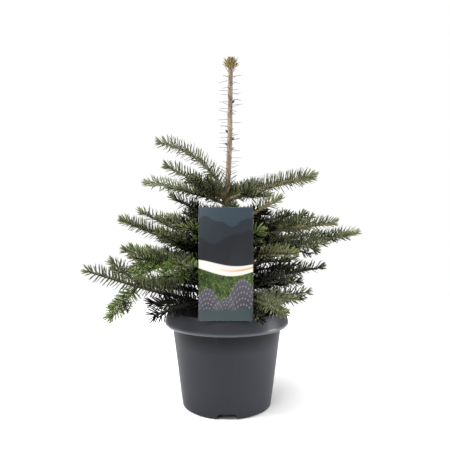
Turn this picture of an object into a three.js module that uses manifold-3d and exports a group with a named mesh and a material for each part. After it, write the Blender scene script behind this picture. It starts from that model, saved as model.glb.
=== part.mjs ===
// A young Korean fir in its nursery pot, with a plant label clipped on the rim.
//
// Millimetres, +Z up. The origin is the centre of the pot's underside, and -Y is the front,
// where the label stands. The pot, its peat, the label, the trunk, the leader, each bough and
// each spray of foliage is a solid of its own. Sprays grow from the limbs by one seeded rule.

import * as THREE from 'three';
import { mergeVertices } from 'three/addons/utils/BufferGeometryUtils.js';
import Module from 'manifold-3d';

const wasm = await Module();
wasm.setup();

// ---------------------------------------------------------------- driving dimensions

const CLEARANCE = 0.3; // left between solids that touch on the real plant
const MERGE_DISTANCE = 1e-4;
const FACET_CORNERS = 6; // of a cylinder's facet, in the list of its triangles
const CUT_BEYOND = 2; // how far a cutter reaches past what it cuts
const GOLDEN_ANGLE = 137.508; // degrees from one needle to the next round a twig
const NEARLY_STRAIGHT = 1e-3; // radians, the least that a limb bends
const NEARLY_ZERO = { bend: 1e-6, parallel: 1e-9 };

// A name is hashed to the state from which its random numbers are drawn.
const HASH = { start: 2166136261, factor: 16777619 };
const DRAW = { factor: 1664525, step: 1013904223, range: 2 ** 32 };

const POT = {
  height: 146,
  segments: 36,
  wall: 1.8,
  footFlat: 65.4, // outer edge of the flat that the pot stands on
  footInner: 62,
  footFillet: 3.2,
  footRadius: 68.4, // outer wall just above the fillet
  shoulder: { radius: 84.2, z: 124 }, // outer wall behind the rim's lower lip
  rim: {
    radius: 95,
    lipZ: 122.3,
    topRadius: 89.6,
    thickness: 1.6,
    grooveZ: 142.5, // top of the hollow behind the rim's skirt
    bulge: 1.4,
    chamfer: 0.8,
  },
  base: { z: 8.5, bossRadius: 16, bossSlope: 1.2, cornerInside: 2, bossInside: 15.5 },
  notch: { count: 4, bottomWidth: 33, topWidth: 24, height: 8.2, corner: 3, cornerLean: 0.4 },
  drain: { count: 4, radius: 4, ring: 46, sides: 12 },
};

const SOIL = {
  edgeZ: 129.4,
  crownZ: 132,
  crownRadius: 14,
  shoulder: { radius: 0.7, rise: 0.35 }, // shares of the whole radius and rise
  segments: 28,
};

const LABEL = {
  width: 73.7,
  bottomZ: 144.7,
  height: 154.1,
  thickness: 0.8,
  corner: 2.5,
  frontY: -92,
  centreX: -1.7,
  clip: { width: 24, innerY: -81.8, tipZ: 136 },
};

const TRUNK = {
  topZ: 519,
  sides: 10,
  rings: 22,
  radius: { base: 6.9, whorl: 5, leader: 4.1, tip: 3.5 },
  whorlZ: 315, // the whorl under the leader
  leaderZ: 330, // where the leader's own node begins
  whorlSwell: 12, // the height over which the swelling at the whorl dies out
  flare: { radius: 2.8, height: 7, lobes: 3, depth: 0.16 },
  ringSpread: 1.25, // above 1, rings stand closer together in the root flare
  bends: [[132, 1], [200, -1], [315, -0.5], [352, 2.3], [411, 4.8], [519, 5.7]], // height, X
};

const LEADER_NEEDLES = { pitch: 5.4, length: 17, lean: 82, firstZ: 334, lastZ: 512, sunk: 0.6 };

const LEADER_BUDS = {
  length: 6,
  radius: 2.1,
  rise: 40,
  sunk: 0.9,
  places: [[465, 10], [419, 185], [407, 340], [399, 170], [392, 20]], // height, turn
};

const BUD_SUNK = 1;

// The leader ends in a ring of buds round a larger one, among short needles.
const TUFT = {
  foot: { height: 5, sides: 6, taper: 0.8 },
  heartZ: 3, // above the seat, where buds and needles meet
  bud: { length: 12, radius: 4.6 },
  sideBuds: { count: 5, length: 9, radius: 3, turn: 20, rise: 32 },
  needles: { count: 11, length: 15, lowest: 20, step: 5, steps: 9 },
};

const NEEDLE = {
  length: 17,
  width: 3.4,
  thickness: 1.25,
  pitch: 8.5, // along the twig, from one round of needles to the next
  twist: 47, // degrees from one round of needles to the next
  beyondTwig: 9, // how far the last needles reach past their twig
  bareAtTrunk: 14,
  bareAtNode: 6,
  lean: 64, // degrees from the twig's direction
  tipLean: 30,
  tipStretch: 16, // millimetres of twig over which needles close in round the bud
  gather: 0.7, // needles turn up: their angle from the top is this share of their root's angle
  vary: 0.14,
  // What a needle claims as its own room, from where it leaves its twig to its tip.
  room: { from: 0.12, rootRadius: 2.55, tipRadius: 0.2 },
};

const LIMB = {
  sides: { bough: 5, spine: 3, lateral: 3 },
  boughRings: 2,
  tipRadius: 1.05,
  rootRadius: { 1: 2.3, 2: 2.9, 3: 3.5 }, // by age in years
  lateralRadius: 1.6,
  boughShare: { 2: 0.24, 3: 0.26 }, // the part of a limb that is bare bough, by age
};

const LATERAL = {
  // Where side twigs leave a limb, by age: the share of its length, and 1 for right or -1 for left
  // as seen from the trunk. A limb may have a list of its own, also with another spread.
  nodes: { 1: [], 2: [[0.5, 1], [0.5, -1]], 3: [[0.36, 1], [0.36, -1], [0.64, 1], [0.64, -1]] },
  spread: 57, // degrees from the limb's direction
  closing: 12, // how far a side twig bends forward again
  share: 0.55, // of what is left of the limb beyond the node
  extra: 20,
  vary: 6,
};

// Limbs by whorl, from the top down. z is the height of the root, turn runs from +X towards the
// back, length runs from the trunk's axis to the last needle tips, and a limb leaves the trunk at
// the slope rise and bends evenly to the slope level. Its side twigs lie level unless it is rolled
// about its own line. A droop turns them down from there, and a negative one up.
const WHORLS = {
  top: [
    { z: 315, turn: 170, length: 154, rise: 70, level: 11 },
    { z: 316, turn: 203, length: 112, rise: 28, level: 22 },
    { z: 306, turn: 150, length: 172, rise: 23, level: 6 },
    { z: 312, turn: 343, length: 141, rise: 21, level: 6 },
    { z: 314, turn: 60, length: 125, rise: 26, level: 5 },
    { z: 311, turn: 108, length: 120, rise: 22, level: 5 },
  ],
  upper: [
    { z: 268, turn: 211, length: 108, rise: 32, level: 22 },
    { z: 262, turn: 322, length: 113, rise: 33, level: 22 },
    { z: 266, turn: 85, length: 135, rise: 25, level: 8, age: 2 },
  ],
  middle: [
    { z: 226, turn: 164, length: 168, rise: 27, level: 24, age: 2, droop: -40, twigs: [[0.34, 1]] },
    { z: 251, turn: 349, length: 171, rise: 13, level: 5, age: 2 },
    { z: 248, turn: 132, length: 162, rise: 20, level: 10, age: 2 },
    { z: 256, turn: 40, length: 158, rise: 19, level: 8, twigs: [[0.47, -1]] },
    { z: 250, turn: 227, length: 92, rise: 20, level: 6 },
    { z: 254, turn: 303, length: 96, rise: 13, level: 2 },
    { z: 232, turn: 18, length: 165, rise: 14, level: 6, twigs: [[0.45, -1]] },
  ],
  lower: [
    { z: 208, turn: 187, length: 180, rise: 29, level: 20, age: 3, twigs: [[0.32, 1], [0.36, -1]] },
    { z: 204, turn: 8, length: 228, rise: 25, level: 5, age: 3,
      twigs: [[0.36, 1], [0.36, -1], [0.64, 1]] },
    { z: 181, turn: 352, length: 155, rise: 12, level: 11, age: 3,
      twigs: [[0.36, 1], [0.36, -1], [0.64, -1]] },
    { z: 202, turn: 217, length: 166, rise: 12, level: 8, age: 2 },
    { z: 192, turn: 98, length: 190, rise: 15, level: 5, age: 3 },
    { z: 198, turn: 150, length: 156, rise: 14, level: 5, age: 3 },
    { z: 181, turn: 55, length: 188, rise: 17, level: 9, age: 3 },
    { z: 226, turn: 318, length: 130, rise: 8, level: 0 },
    { z: 214, turn: 229, length: 110, rise: 10, level: 0 },
    { z: 189, turn: 197, length: 168, rise: 17, level: 17, twigs: [[0.55, 1]] },
  ],
  bottom: [
    { z: 146, turn: 203, sweep: -6, length: 225, rise: 14, level: 20, age: 3, roll: 46, droop: 20,
      twigs: [[0.64, 1, 47], [0.68, -1, 74]] },
    { z: 155, turn: 228, length: 152, rise: 12, level: -12, age: 2 },
    { z: 165, turn: 302, length: 146, rise: 6, level: -9, age: 2, roll: -8, droop: 6 },
    { z: 153.5, turn: 294, length: 112, rise: 6, level: -14 },
    { z: 164, turn: 33, length: 150, rise: 9, level: 10, age: 2 },
    { z: 153, turn: 16, length: 144, rise: 6, level: 3, age: 2 },
    { z: 157, turn: 77, length: 183, rise: 9, level: 4, age: 3 },
    { z: 168, turn: 115, length: 193, rise: 7, level: 4, age: 3 },
    { z: 160, turn: 152, length: 175, rise: 8, level: 8, age: 3 },
  ],
};

const COLOURS = {
  pot: { color: 0x47484d, roughness: 0.5 },
  soil: { color: 0x2a211b, roughness: 1 },
  plant_label: { color: 0x3d434b, roughness: 0.35 },
  trunk: { color: 0x94785e, roughness: 0.85 },
  bough: { color: 0x7a5d44, roughness: 0.85 },
  leader_tuft: { color: 0xa8723c, roughness: 0.7 },
  foliage: { color: 0x40562f, roughness: 0.6 },
};

// ---------------------------------------------------------------- solids and numbers

const radians = THREE.MathUtils.degToRad;
const lerp = THREE.MathUtils.lerp;
const UP = new THREE.Vector3(0, 0, 1);

function solidFrom(geometry) {
  geometry.deleteAttribute('normal');
  geometry.deleteAttribute('uv');
  const merged = mergeVertices(geometry, MERGE_DISTANCE);
  const vertProperties = Float32Array.from(merged.attributes.position.array);
  const triVerts = Uint32Array.from(merged.index.array);
  return new wasm.Manifold(new wasm.Mesh({ numProp: 3, vertProperties, triVerts }));
}

function geometryFrom(solid) {
  const mesh = solid.getMesh();
  const geometry = new THREE.BufferGeometry();
  geometry.setAttribute('position', new THREE.BufferAttribute(mesh.vertProperties, 3));
  geometry.setIndex(new THREE.BufferAttribute(mesh.triVerts, 1));
  geometry.computeVertexNormals();
  return geometry;
}

const joined = (solids) => solids.reduce((whole, piece) => whole.add(piece));

function seededRandom(name) {
  let state = HASH.start;
  for (const letter of name) {
    state = Math.imul(state ^ letter.charCodeAt(0), HASH.factor) >>> 0;
  }
  return () => {
    state = (Math.imul(state, DRAW.factor) + DRAW.step) >>> 0;
    return state / DRAW.range;
  };
}

function direction(turn, rise) {
  const level = Math.cos(radians(rise));
  return new THREE.Vector3(
    level * Math.cos(radians(turn)),
    level * Math.sin(radians(turn)),
    Math.sin(radians(rise)),
  );
}

// A solid of revolution about the Z axis, from a profile of radius and height.
function revolved(profile, segments) {
  const geometry = new THREE.LatheGeometry(profile, segments);
  geometry.rotateX(Math.PI / 2);
  return solidFrom(geometry);
}

// ---------------------------------------------------------------- pot, soil and label

const at = (radius, z) => new THREE.Vector2(radius, z);

function potOuterRadius(z) {
  const share = (z - POT.footFillet) / (POT.shoulder.z - POT.footFillet);
  return lerp(POT.footRadius, POT.shoulder.radius, share);
}

const potInnerRadius = (z) => potOuterRadius(z) - POT.wall;

function rimCurve(inset, fromZ, toZ) {
  const { radius, topRadius, bulge } = POT.rim;
  const middle = at((radius + topRadius) / 2 + bulge - inset, (fromZ + toZ) / 2);
  return new THREE.QuadraticBezierCurve(at(radius - inset, fromZ), middle, at(topRadius - inset, toZ));
}

function potProfile() {
  const { height, wall, base, rim, shoulder } = POT;
  const floorZ = base.z + wall;
  const footArc = [45, 90].map((angle) => at(
    POT.footFlat + (POT.footRadius - POT.footFlat) * Math.sin(radians(angle)),
    POT.footFillet * (1 - Math.cos(radians(angle))),
  ));
  const skirtInside = rimCurve(rim.thickness, rim.lipZ, rim.grooveZ).getPoints(2).reverse();
  const skirtOutside = rimCurve(0, shoulder.z, height - rim.chamfer).getPoints(4);
  return [
    at(0, 0),
    at(base.bossRadius, 0),
    at(base.bossRadius + base.bossSlope, base.z),
    at(POT.footInner + wall, base.z),
    at(POT.footInner, 0),
    at(POT.footFlat, 0),
    ...footArc,
    at(potOuterRadius(rim.grooveZ), rim.grooveZ),
    ...skirtInside,
    at(rim.radius - rim.thickness / 4, rim.lipZ),
    ...skirtOutside,
    at(rim.topRadius - rim.chamfer, height),
    at(potInnerRadius(height) + rim.chamfer, height),
    at(potInnerRadius(height - rim.chamfer), height - rim.chamfer),
    at(potInnerRadius(floorZ + base.cornerInside), floorZ + base.cornerInside),
    at(potInnerRadius(floorZ) - base.cornerInside, floorZ),
    at(base.bossRadius + base.bossSlope + wall, floorZ),
    at(base.bossInside, wall),
    at(0, wall),
  ];
}

function notchCutter(turn) {
  const { bottomWidth, topWidth, height, corner, cornerLean } = POT.notch;
  const outline = new THREE.Shape();
  outline.moveTo(-bottomWidth / 2, -CUT_BEYOND);
  outline.lineTo(bottomWidth / 2, -CUT_BEYOND);
  outline.lineTo(topWidth / 2 + cornerLean, height - corner);
  outline.quadraticCurveTo(topWidth / 2, height, topWidth / 2 - corner, height);
  outline.lineTo(corner - topWidth / 2, height);
  outline.quadraticCurveTo(-topWidth / 2, height, -topWidth / 2 - cornerLean, height - corner);
  const innerY = POT.footInner - CUT_BEYOND;
  const depth = POT.footRadius + 2 * CUT_BEYOND - innerY;
  const geometry = new THREE.ExtrudeGeometry(outline, { depth, bevelEnabled: false, curveSegments: 3 });
  geometry.rotateX(Math.PI / 2);
  geometry.translate(0, -innerY, 0);
  geometry.rotateZ(turn);
  return solidFrom(geometry);
}

function drainCutter(turn) {
  const { radius, ring, sides } = POT.drain;
  const geometry = new THREE.CylinderGeometry(radius, radius, POT.wall + 2 * CUT_BEYOND, sides);
  geometry.rotateX(Math.PI / 2);
  geometry.translate(ring, 0, POT.base.z + POT.wall / 2);
  geometry.rotateZ(turn);
  return solidFrom(geometry);
}

function makePot() {
  let pot = revolved(potProfile(), POT.segments);
  for (let i = 0; i < POT.notch.count; i += 1) {
    pot = pot.subtract(notchCutter((i / POT.notch.count) * 2 * Math.PI));
  }
  for (let i = 0; i < POT.drain.count; i += 1) {
    pot = pot.subtract(drainCutter(((i + 0.5) / POT.drain.count) * 2 * Math.PI));
  }
  return pot;
}

function makeSoil() {
  const floorZ = POT.base.z + POT.wall + CLEARANCE;
  const { bossRadius, bossSlope, bossInside, cornerInside } = POT.base;
  const { edgeZ, crownZ, crownRadius, shoulder } = SOIL;
  const gap = CLEARANCE * 2; // the facets of pot and soil don't line up
  const profile = [
    at(0, POT.wall + CLEARANCE),
    at(bossInside - gap, POT.wall + CLEARANCE),
    at(bossRadius + bossSlope + POT.wall - gap, floorZ),
    at(potInnerRadius(floorZ) - cornerInside - gap, floorZ),
    at(potInnerRadius(floorZ + cornerInside) - gap, floorZ + cornerInside),
    at(potInnerRadius(edgeZ) - gap, edgeZ),
    at(potInnerRadius(edgeZ) * shoulder.radius, lerp(edgeZ, crownZ, shoulder.rise)),
    at(crownRadius, crownZ),
    at(0, crownZ),
  ];
  return revolved(profile, SOIL.segments);
}

function makeLabel() {
  const { width, height, thickness, corner, bottomZ, frontY, centreX, clip } = LABEL;
  const card = new THREE.Shape();
  card.moveTo(-width / 2 + corner, 0);
  card.lineTo(width / 2 - corner, 0);
  card.quadraticCurveTo(width / 2, 0, width / 2, corner);
  card.lineTo(width / 2, height - corner);
  card.quadraticCurveTo(width / 2, height, width / 2 - corner, height);
  card.lineTo(-width / 2 + corner, height);
  card.quadraticCurveTo(-width / 2, height, -width / 2, height - corner);
  card.lineTo(-width / 2, corner);
  card.quadraticCurveTo(-width / 2, 0, -width / 2 + corner, 0);
  const cardGeometry = new THREE.ExtrudeGeometry(card, {
    depth: thickness,
    bevelEnabled: false,
    curveSegments: 3,
  });
  cardGeometry.rotateX(Math.PI / 2);
  cardGeometry.translate(centreX, frontY + thickness, bottomZ);

  // The clip is a strip that leaves the card's back, lies over the rim and hooks down inside it.
  const seatZ = POT.height + CLEARANCE;
  const hook = new THREE.Shape();
  hook.moveTo(frontY + thickness / 2, seatZ);
  hook.lineTo(clip.innerY - thickness, seatZ);
  hook.lineTo(clip.innerY - thickness, clip.tipZ);
  hook.lineTo(clip.innerY, clip.tipZ);
  hook.lineTo(clip.innerY, seatZ + thickness);
  hook.lineTo(frontY + thickness / 2, seatZ + thickness);
  const hookGeometry = new THREE.ExtrudeGeometry(hook, { depth: clip.width, bevelEnabled: false });
  hookGeometry.rotateX(Math.PI / 2);
  hookGeometry.rotateZ(Math.PI / 2);
  hookGeometry.translate(centreX - clip.width / 2, 0, 0);
  return solidFrom(cardGeometry).add(solidFrom(hookGeometry));
}

// ---------------------------------------------------------------- trunk and limbs

const TRUNK_BASE_Z = SOIL.crownZ + CLEARANCE;

function trunkX(z) {
  const bends = TRUNK.bends;
  const next = Math.max(1, bends.findIndex(([height]) => height >= z));
  const [lowZ, lowX] = bends[next - 1];
  const [highZ, highX] = bends[next];
  return lerp(lowX, highX, (z - lowZ) / (highZ - lowZ));
}

function trunkRadius(z) {
  const { radius, whorlZ, whorlSwell, topZ, flare } = TRUNK;
  if (z > whorlZ) {
    const swell = (radius.whorl - radius.leader) * Math.exp((whorlZ - z) / whorlSwell);
    return lerp(radius.leader, radius.tip, (z - whorlZ) / (topZ - whorlZ)) + swell;
  }
  const taper = lerp(radius.base, radius.whorl, (z - TRUNK_BASE_Z) / (whorlZ - TRUNK_BASE_Z));
  return taper + flare.radius * Math.exp((TRUNK_BASE_Z - z) / flare.height);
}

// The bare trunk, or the same trunk grown by a margin all round, to cut other limbs clear of it.
function trunkSolid(margin) {
  const { topZ, sides, rings, flare, ringSpread } = TRUNK;
  const geometry = new THREE.CylinderGeometry(1, 1, 1, sides, rings);
  geometry.rotateX(Math.PI / 2);
  const position = geometry.attributes.position;
  for (let i = 0; i < position.count; i += 1) {
    const share = (position.getZ(i) + 0.5) ** ringSpread;
    const z = lerp(TRUNK_BASE_Z, topZ, share);
    const angle = Math.atan2(position.getY(i), position.getX(i));
    const lobe = flare.depth * Math.cos(flare.lobes * angle) * Math.exp((TRUNK_BASE_Z - z) / flare.height);
    const onSurface = Math.hypot(position.getX(i), position.getY(i));
    const radius = onSurface * (trunkRadius(z) * (1 + lobe) + margin);
    position.setXYZ(i, trunkX(z) + radius * Math.cos(angle), radius * Math.sin(angle), z);
  }
  return solidFrom(geometry);
}

// A limb is an arc that leaves its root in one direction and bends evenly to another.
function makeLimb({ root, from, to, length, thick, thin, roll = 0 }) {
  const angle = Math.max(from.angleTo(to), NEARLY_STRAIGHT);
  const bend = to.clone().addScaledVector(from, -from.dot(to));
  if (bend.lengthSq() < NEARLY_ZERO.bend) {
    bend.copy(UP).addScaledVector(from, -from.dot(UP));
  }
  return { root, from, bend: bend.normalize(), angle, length, thick, thin, roll: radians(roll) };
}

function stationOn(limb, share) {
  const turned = limb.angle * share;
  const reach = limb.length / limb.angle;
  const point = limb.root.clone()
    .addScaledVector(limb.from, reach * Math.sin(turned))
    .addScaledVector(limb.bend, reach * (1 - Math.cos(turned)));
  const along = limb.from.clone()
    .multiplyScalar(Math.cos(turned))
    .addScaledVector(limb.bend, Math.sin(turned));
  const side = along.clone().cross(UP).normalize().applyAxisAngle(along, -limb.roll);
  const up = side.clone().cross(along);
  return { point, along, side, up, radius: lerp(limb.thick, limb.thin, share) };
}

function limbSolid(limb, first, last, sides, steps) {
  const geometry = new THREE.CylinderGeometry(1, 1, 1, sides, steps);
  const position = geometry.attributes.position;
  for (let i = 0; i < position.count; i += 1) {
    const station = stationOn(limb, lerp(first, last, position.getY(i) + 0.5));
    const place = station.point
      .addScaledVector(station.side, station.radius * position.getX(i))
      .addScaledVector(station.up, station.radius * position.getZ(i));
    position.setXYZ(i, place.x, place.y, place.z);
  }
  return solidFrom(geometry);
}

// ---------------------------------------------------------------- room for twigs and needles

const STRETCH_LENGTH = 25;
const PROBES = 6; // along a stretch, to test it against pot, label and trunk
const RIM_ROOM = 7.3; // inside the pot's mouth, where needles already stay above the rim

const claims = []; // straight stretches that limbs and needles already fill

function gapBetween(p, q) {
  const d1 = p.end.clone().sub(p.start);
  const d2 = q.end.clone().sub(q.start);
  const between = p.start.clone().sub(q.start);
  const a = d1.dot(d1);
  const e = d2.dot(d2);
  const b = d1.dot(d2);
  const c = d1.dot(between);
  const f = d2.dot(between);
  const parallel = a * e - b * b;
  let s = parallel > NEARLY_ZERO.parallel ? THREE.MathUtils.clamp((b * f - c * e) / parallel, 0, 1) : 0;
  let t = (b * s + f) / e;
  if (t < 0 || t > 1) {
    t = THREE.MathUtils.clamp(t, 0, 1);
    s = THREE.MathUtils.clamp((b * t - c) / a, 0, 1);
  }
  const distance = between.addScaledVector(d1, s).addScaledVector(d2, -t).length();
  return distance - lerp(p.thick, p.thin, s) - lerp(q.thick, q.thin, t);
}

// True where a point lies in, or too near, the pot, soil, label or trunk.
function blocked(point, margin) {
  const radius = Math.hypot(point.x, point.y);
  const overRim = radius > potInnerRadius(POT.height) - RIM_ROOM && radius < POT.rim.radius + margin;
  if (point.z < (overRim ? POT.height : SOIL.crownZ) + margin && radius < POT.rim.radius + margin) {
    return true;
  }
  const acrossLabel = Math.abs(point.x - LABEL.centreX) < LABEL.width / 2 + margin;
  const labelTopZ = LABEL.bottomZ + LABEL.height;
  if (acrossLabel && point.z < labelTopZ + margin && point.y < LABEL.frontY + LABEL.thickness + margin) {
    return true;
  }
  const overClip = point.y < LABEL.clip.innerY + margin && Math.abs(point.x) < LABEL.clip.width;
  if (overClip && point.z < POT.height + CLEARANCE + LABEL.thickness + margin) {
    return true;
  }
  const fromTrunk = Math.hypot(point.x - trunkX(point.z), point.y);
  return point.z < TRUNK.topZ && fromTrunk < trunkRadius(point.z) + margin;
}

// A straight stretch of limb or needle, with its thickness at either end and the spray that owns it.
function makeStretch(start, end, thick, thin, owner) {
  const middle = start.clone().lerp(end, 0.5);
  return { start, end, thick, thin, owner, middle, reach: start.distanceTo(end) / 2 + thick };
}

function isFree(stretch) {
  for (let i = 0; i <= PROBES; i += 1) {
    const share = i / PROBES;
    const point = stretch.start.clone().lerp(stretch.end, share);
    if (blocked(point, lerp(stretch.thick, stretch.thin, share) + CLEARANCE)) {
      return false;
    }
  }
  return claims.every((claim) => claim.owner === stretch.owner
    || claim.middle.distanceTo(stretch.middle) > claim.reach + stretch.reach + CLEARANCE
    || gapBetween(claim, stretch) > CLEARANCE);
}

function stretchesOf(limb, first, last, owner) {
  const count = Math.max(2, Math.ceil((limb.length * (last - first)) / STRETCH_LENGTH));
  const stretches = [];
  for (let i = 0; i < count; i += 1) {
    const start = stationOn(limb, lerp(first, last, i / count));
    const end = stationOn(limb, lerp(first, last, (i + 1) / count));
    stretches.push(makeStretch(start.point, end.point, start.radius, end.radius, owner));
  }
  return stretches;
}

// ---------------------------------------------------------------- needles

// Where a needle ends that leaves its twig at this station, at this angle round it from the top.
// Needles turn up from under the twig, and close in round its bud.
function needleTip(limb, station, share, angle, length) {
  const fromTop = Math.atan2(Math.sin(angle), Math.cos(angle));
  const lifted = fromTop * NEEDLE.gather;
  const nearTip = Math.min(1, (limb.length * (1 - share)) / NEEDLE.tipStretch);
  const lean = radians(lerp(NEEDLE.tipLean, NEEDLE.lean, nearTip));
  return station.point.clone()
    .addScaledVector(station.along, length * Math.cos(lean))
    .addScaledVector(station.side, length * Math.sin(lean) * Math.sin(lifted))
    .addScaledVector(station.up, length * Math.sin(lean) * Math.cos(lifted));
}

// A twig is a slim cylinder of few sides, twisted as it runs out. Each of its facets beyond
// bareLength is drawn out into one needle, unless that needle would leave the spray's own room.
function needledTwig(limb, first, bareLength, sides, owner, random) {
  const span = limb.length * (1 - first);
  const rings = Math.round(span / NEEDLE.pitch);
  const geometry = new THREE.CylinderGeometry(1, 1, 1, sides, rings);
  const flat = geometry.attributes.position;
  const places = [];
  for (let i = 0; i < flat.count; i += 1) {
    const share = lerp(first, 1, flat.getY(i) + 0.5);
    const station = stationOn(limb, share);
    const twist = radians(NEEDLE.twist) * (flat.getY(i) + 0.5) * rings;
    const angle = Math.atan2(flat.getX(i), flat.getZ(i)) + twist;
    const radius = station.radius * Math.hypot(flat.getX(i), flat.getZ(i));
    places.push(station.point
      .addScaledVector(station.side, radius * Math.sin(angle))
      .addScaledVector(station.up, radius * Math.cos(angle)));
  }

  const source = geometry.index.array;
  const facets = sides * rings;
  const triangles = [];
  for (let facet = 0; facet < facets; facet += 1) {
    const [a, b, d, , c] = source.slice(facet * FACET_CORNERS, (facet + 1) * FACET_CORNERS);
    const ring = rings - 1 - (facet % rings);
    const share = lerp(first, 1, (ring + 0.5) / rings);
    const column = Math.floor(facet / rings);
    const angle = ((column + 0.5) / sides) * 2 * Math.PI + radians(NEEDLE.twist) * (ring + 0.5);
    const length = NEEDLE.length * (1 + NEEDLE.vary * (2 * random() - 1));
    const station = stationOn(limb, share);
    const tip = needleTip(limb, station, share, angle, length);
    const root = station.point.clone().lerp(tip, NEEDLE.room.from);
    const stretch = makeStretch(root, tip, NEEDLE.room.rootRadius, NEEDLE.room.tipRadius, owner);
    if (ring * NEEDLE.pitch >= bareLength && isFree(stretch)) {
      claims.push(stretch);
      const t = places.push(tip) - 1;
      triangles.push(a, b, t, b, c, t, c, d, t, d, a, t);
    } else {
      triangles.push(a, b, d, b, c, d);
    }
  }
  triangles.push(...source.slice(facets * FACET_CORNERS));

  const twig = new THREE.BufferGeometry().setFromPoints(places);
  twig.setIndex(triangles);
  return solidFrom(twig);
}

// A single needle is a flat three-sided spike, its root sunk in what carries it. A unit cone of
// three sides is 1.5 high and the square root of 3 wide in section.
function needleSolid(root, along, across, length) {
  const geometry = new THREE.ConeGeometry(1, 1, 3, 1);
  geometry.translate(0, 0.5, 0);
  geometry.scale(NEEDLE.width / Math.sqrt(3), length, NEEDLE.thickness / 1.5);
  const flat = across.clone().cross(along).normalize();
  const wide = along.clone().cross(flat);
  const frame = new THREE.Matrix4().makeBasis(wide, along, flat).setPosition(root);
  return solidFrom(geometry.applyMatrix4(frame));
}

// ---------------------------------------------------------------- the tree

function mainLimb({ z, turn, sweep = 0, length, rise, level, age = 1, roll = 0, droop = 0, twigs }, name) {
  const axis = makeLimb({
    root: new THREE.Vector3(trunkX(z), 0, z),
    from: direction(turn, rise),
    to: direction(turn + sweep, level),
    length: length - NEEDLE.beyondTwig,
    thick: LIMB.rootRadius[age],
    thin: LIMB.tipRadius,
    roll,
  });
  const boughShare = LIMB.boughShare[age] ?? 0;
  const nodes = twigs ?? LATERAL.nodes[age];
  return { name, axis, boughShare, droop, nodes, random: seededRandom(name), twigs: [] };
}

function sideTwig(parent, share, hand, spread, { droop, random }) {
  const node = stationOn(parent, share);
  const open = radians(spread + LATERAL.vary * (2 * random() - 1));
  const closed = open - radians(LATERAL.closing);
  const lift = radians(LATERAL.vary * (2 * random() - 1) - droop);
  const away = node.side.clone()
    .multiplyScalar(hand * Math.cos(lift))
    .addScaledVector(node.up, Math.sin(lift));
  return makeLimb({
    root: node.point,
    from: node.along.clone().multiplyScalar(Math.cos(open)).addScaledVector(away, Math.sin(open)),
    to: node.along.clone().multiplyScalar(Math.cos(closed)).addScaledVector(away, Math.sin(closed)),
    length: parent.length * (1 - share) * LATERAL.share + LATERAL.extra,
    thick: LIMB.lateralRadius,
    thin: LIMB.tipRadius,
  });
}

function growTwigs(limb) {
  for (const [share, hand, spread = LATERAL.spread] of limb.nodes) {
    const twig = sideTwig(limb.axis, share, hand, spread, limb);
    const stretches = stretchesOf(twig, 0, 1, limb.name);
    if (stretches.every(isFree)) {
      claims.push(...stretches);
      limb.twigs.push(twig);
    }
  }
}

function boughSolid(limb, trunkCutter) {
  const solid = limbSolid(limb.axis, 0, limb.boughShare, LIMB.sides.bough, LIMB.boughRings);
  return solid.subtract(trunkCutter);
}

function foliageSolid(limb, trunkCutter) {
  const { axis, boughShare, twigs, name, random } = limb;
  const spineStart = boughShare ? boughShare + CLEARANCE / axis.length : 0;
  const bareLength = boughShare ? 0 : NEEDLE.bareAtTrunk;
  const pieces = [needledTwig(axis, spineStart, bareLength, LIMB.sides.spine, name, random)];
  for (const twig of twigs) {
    pieces.push(needledTwig(twig, 0, NEEDLE.bareAtNode, LIMB.sides.lateral, name, random));
  }
  const whole = joined(pieces);
  return boughShare ? whole : whole.subtract(trunkCutter);
}

function budSolid(root, along, length, radius) {
  const geometry = new THREE.OctahedronGeometry(1, 0);
  geometry.scale(radius, length / 2, radius);
  geometry.applyQuaternion(new THREE.Quaternion().setFromUnitVectors(new THREE.Vector3(0, 1, 0), along));
  const centre = root.clone().addScaledVector(along, length / 2 - BUD_SUNK);
  geometry.translate(centre.x, centre.y, centre.z);
  return solidFrom(geometry);
}

function leaderSolid() {
  const pieces = [trunkSolid(0).trimByPlane([0, 0, 1], TRUNK.leaderZ + CLEARANCE)];
  const { pitch, length, lean, firstZ, lastZ, sunk } = LEADER_NEEDLES;
  for (let k = 0; firstZ + k * pitch < lastZ; k += 1) {
    const z = firstZ + k * pitch;
    const turn = k * GOLDEN_ANGLE;
    const along = direction(turn, 90 - lean);
    const root = new THREE.Vector3(trunkX(z), 0, z).addScaledVector(along, trunkRadius(z) * sunk);
    const tip = root.clone().addScaledVector(along, length);
    claims.push(makeStretch(root, tip, NEEDLE.width / 2, NEEDLE.room.tipRadius, 'leader'));
    pieces.push(needleSolid(root, along, UP, length));
  }
  for (const [z, turn] of LEADER_BUDS.places) {
    const outward = trunkRadius(z) * LEADER_BUDS.sunk;
    const root = new THREE.Vector3(trunkX(z), 0, z).addScaledVector(direction(turn, 0), outward);
    const along = direction(turn, LEADER_BUDS.rise);
    pieces.push(budSolid(root, along, LEADER_BUDS.length, LEADER_BUDS.radius));
  }
  return joined(pieces);
}

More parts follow.
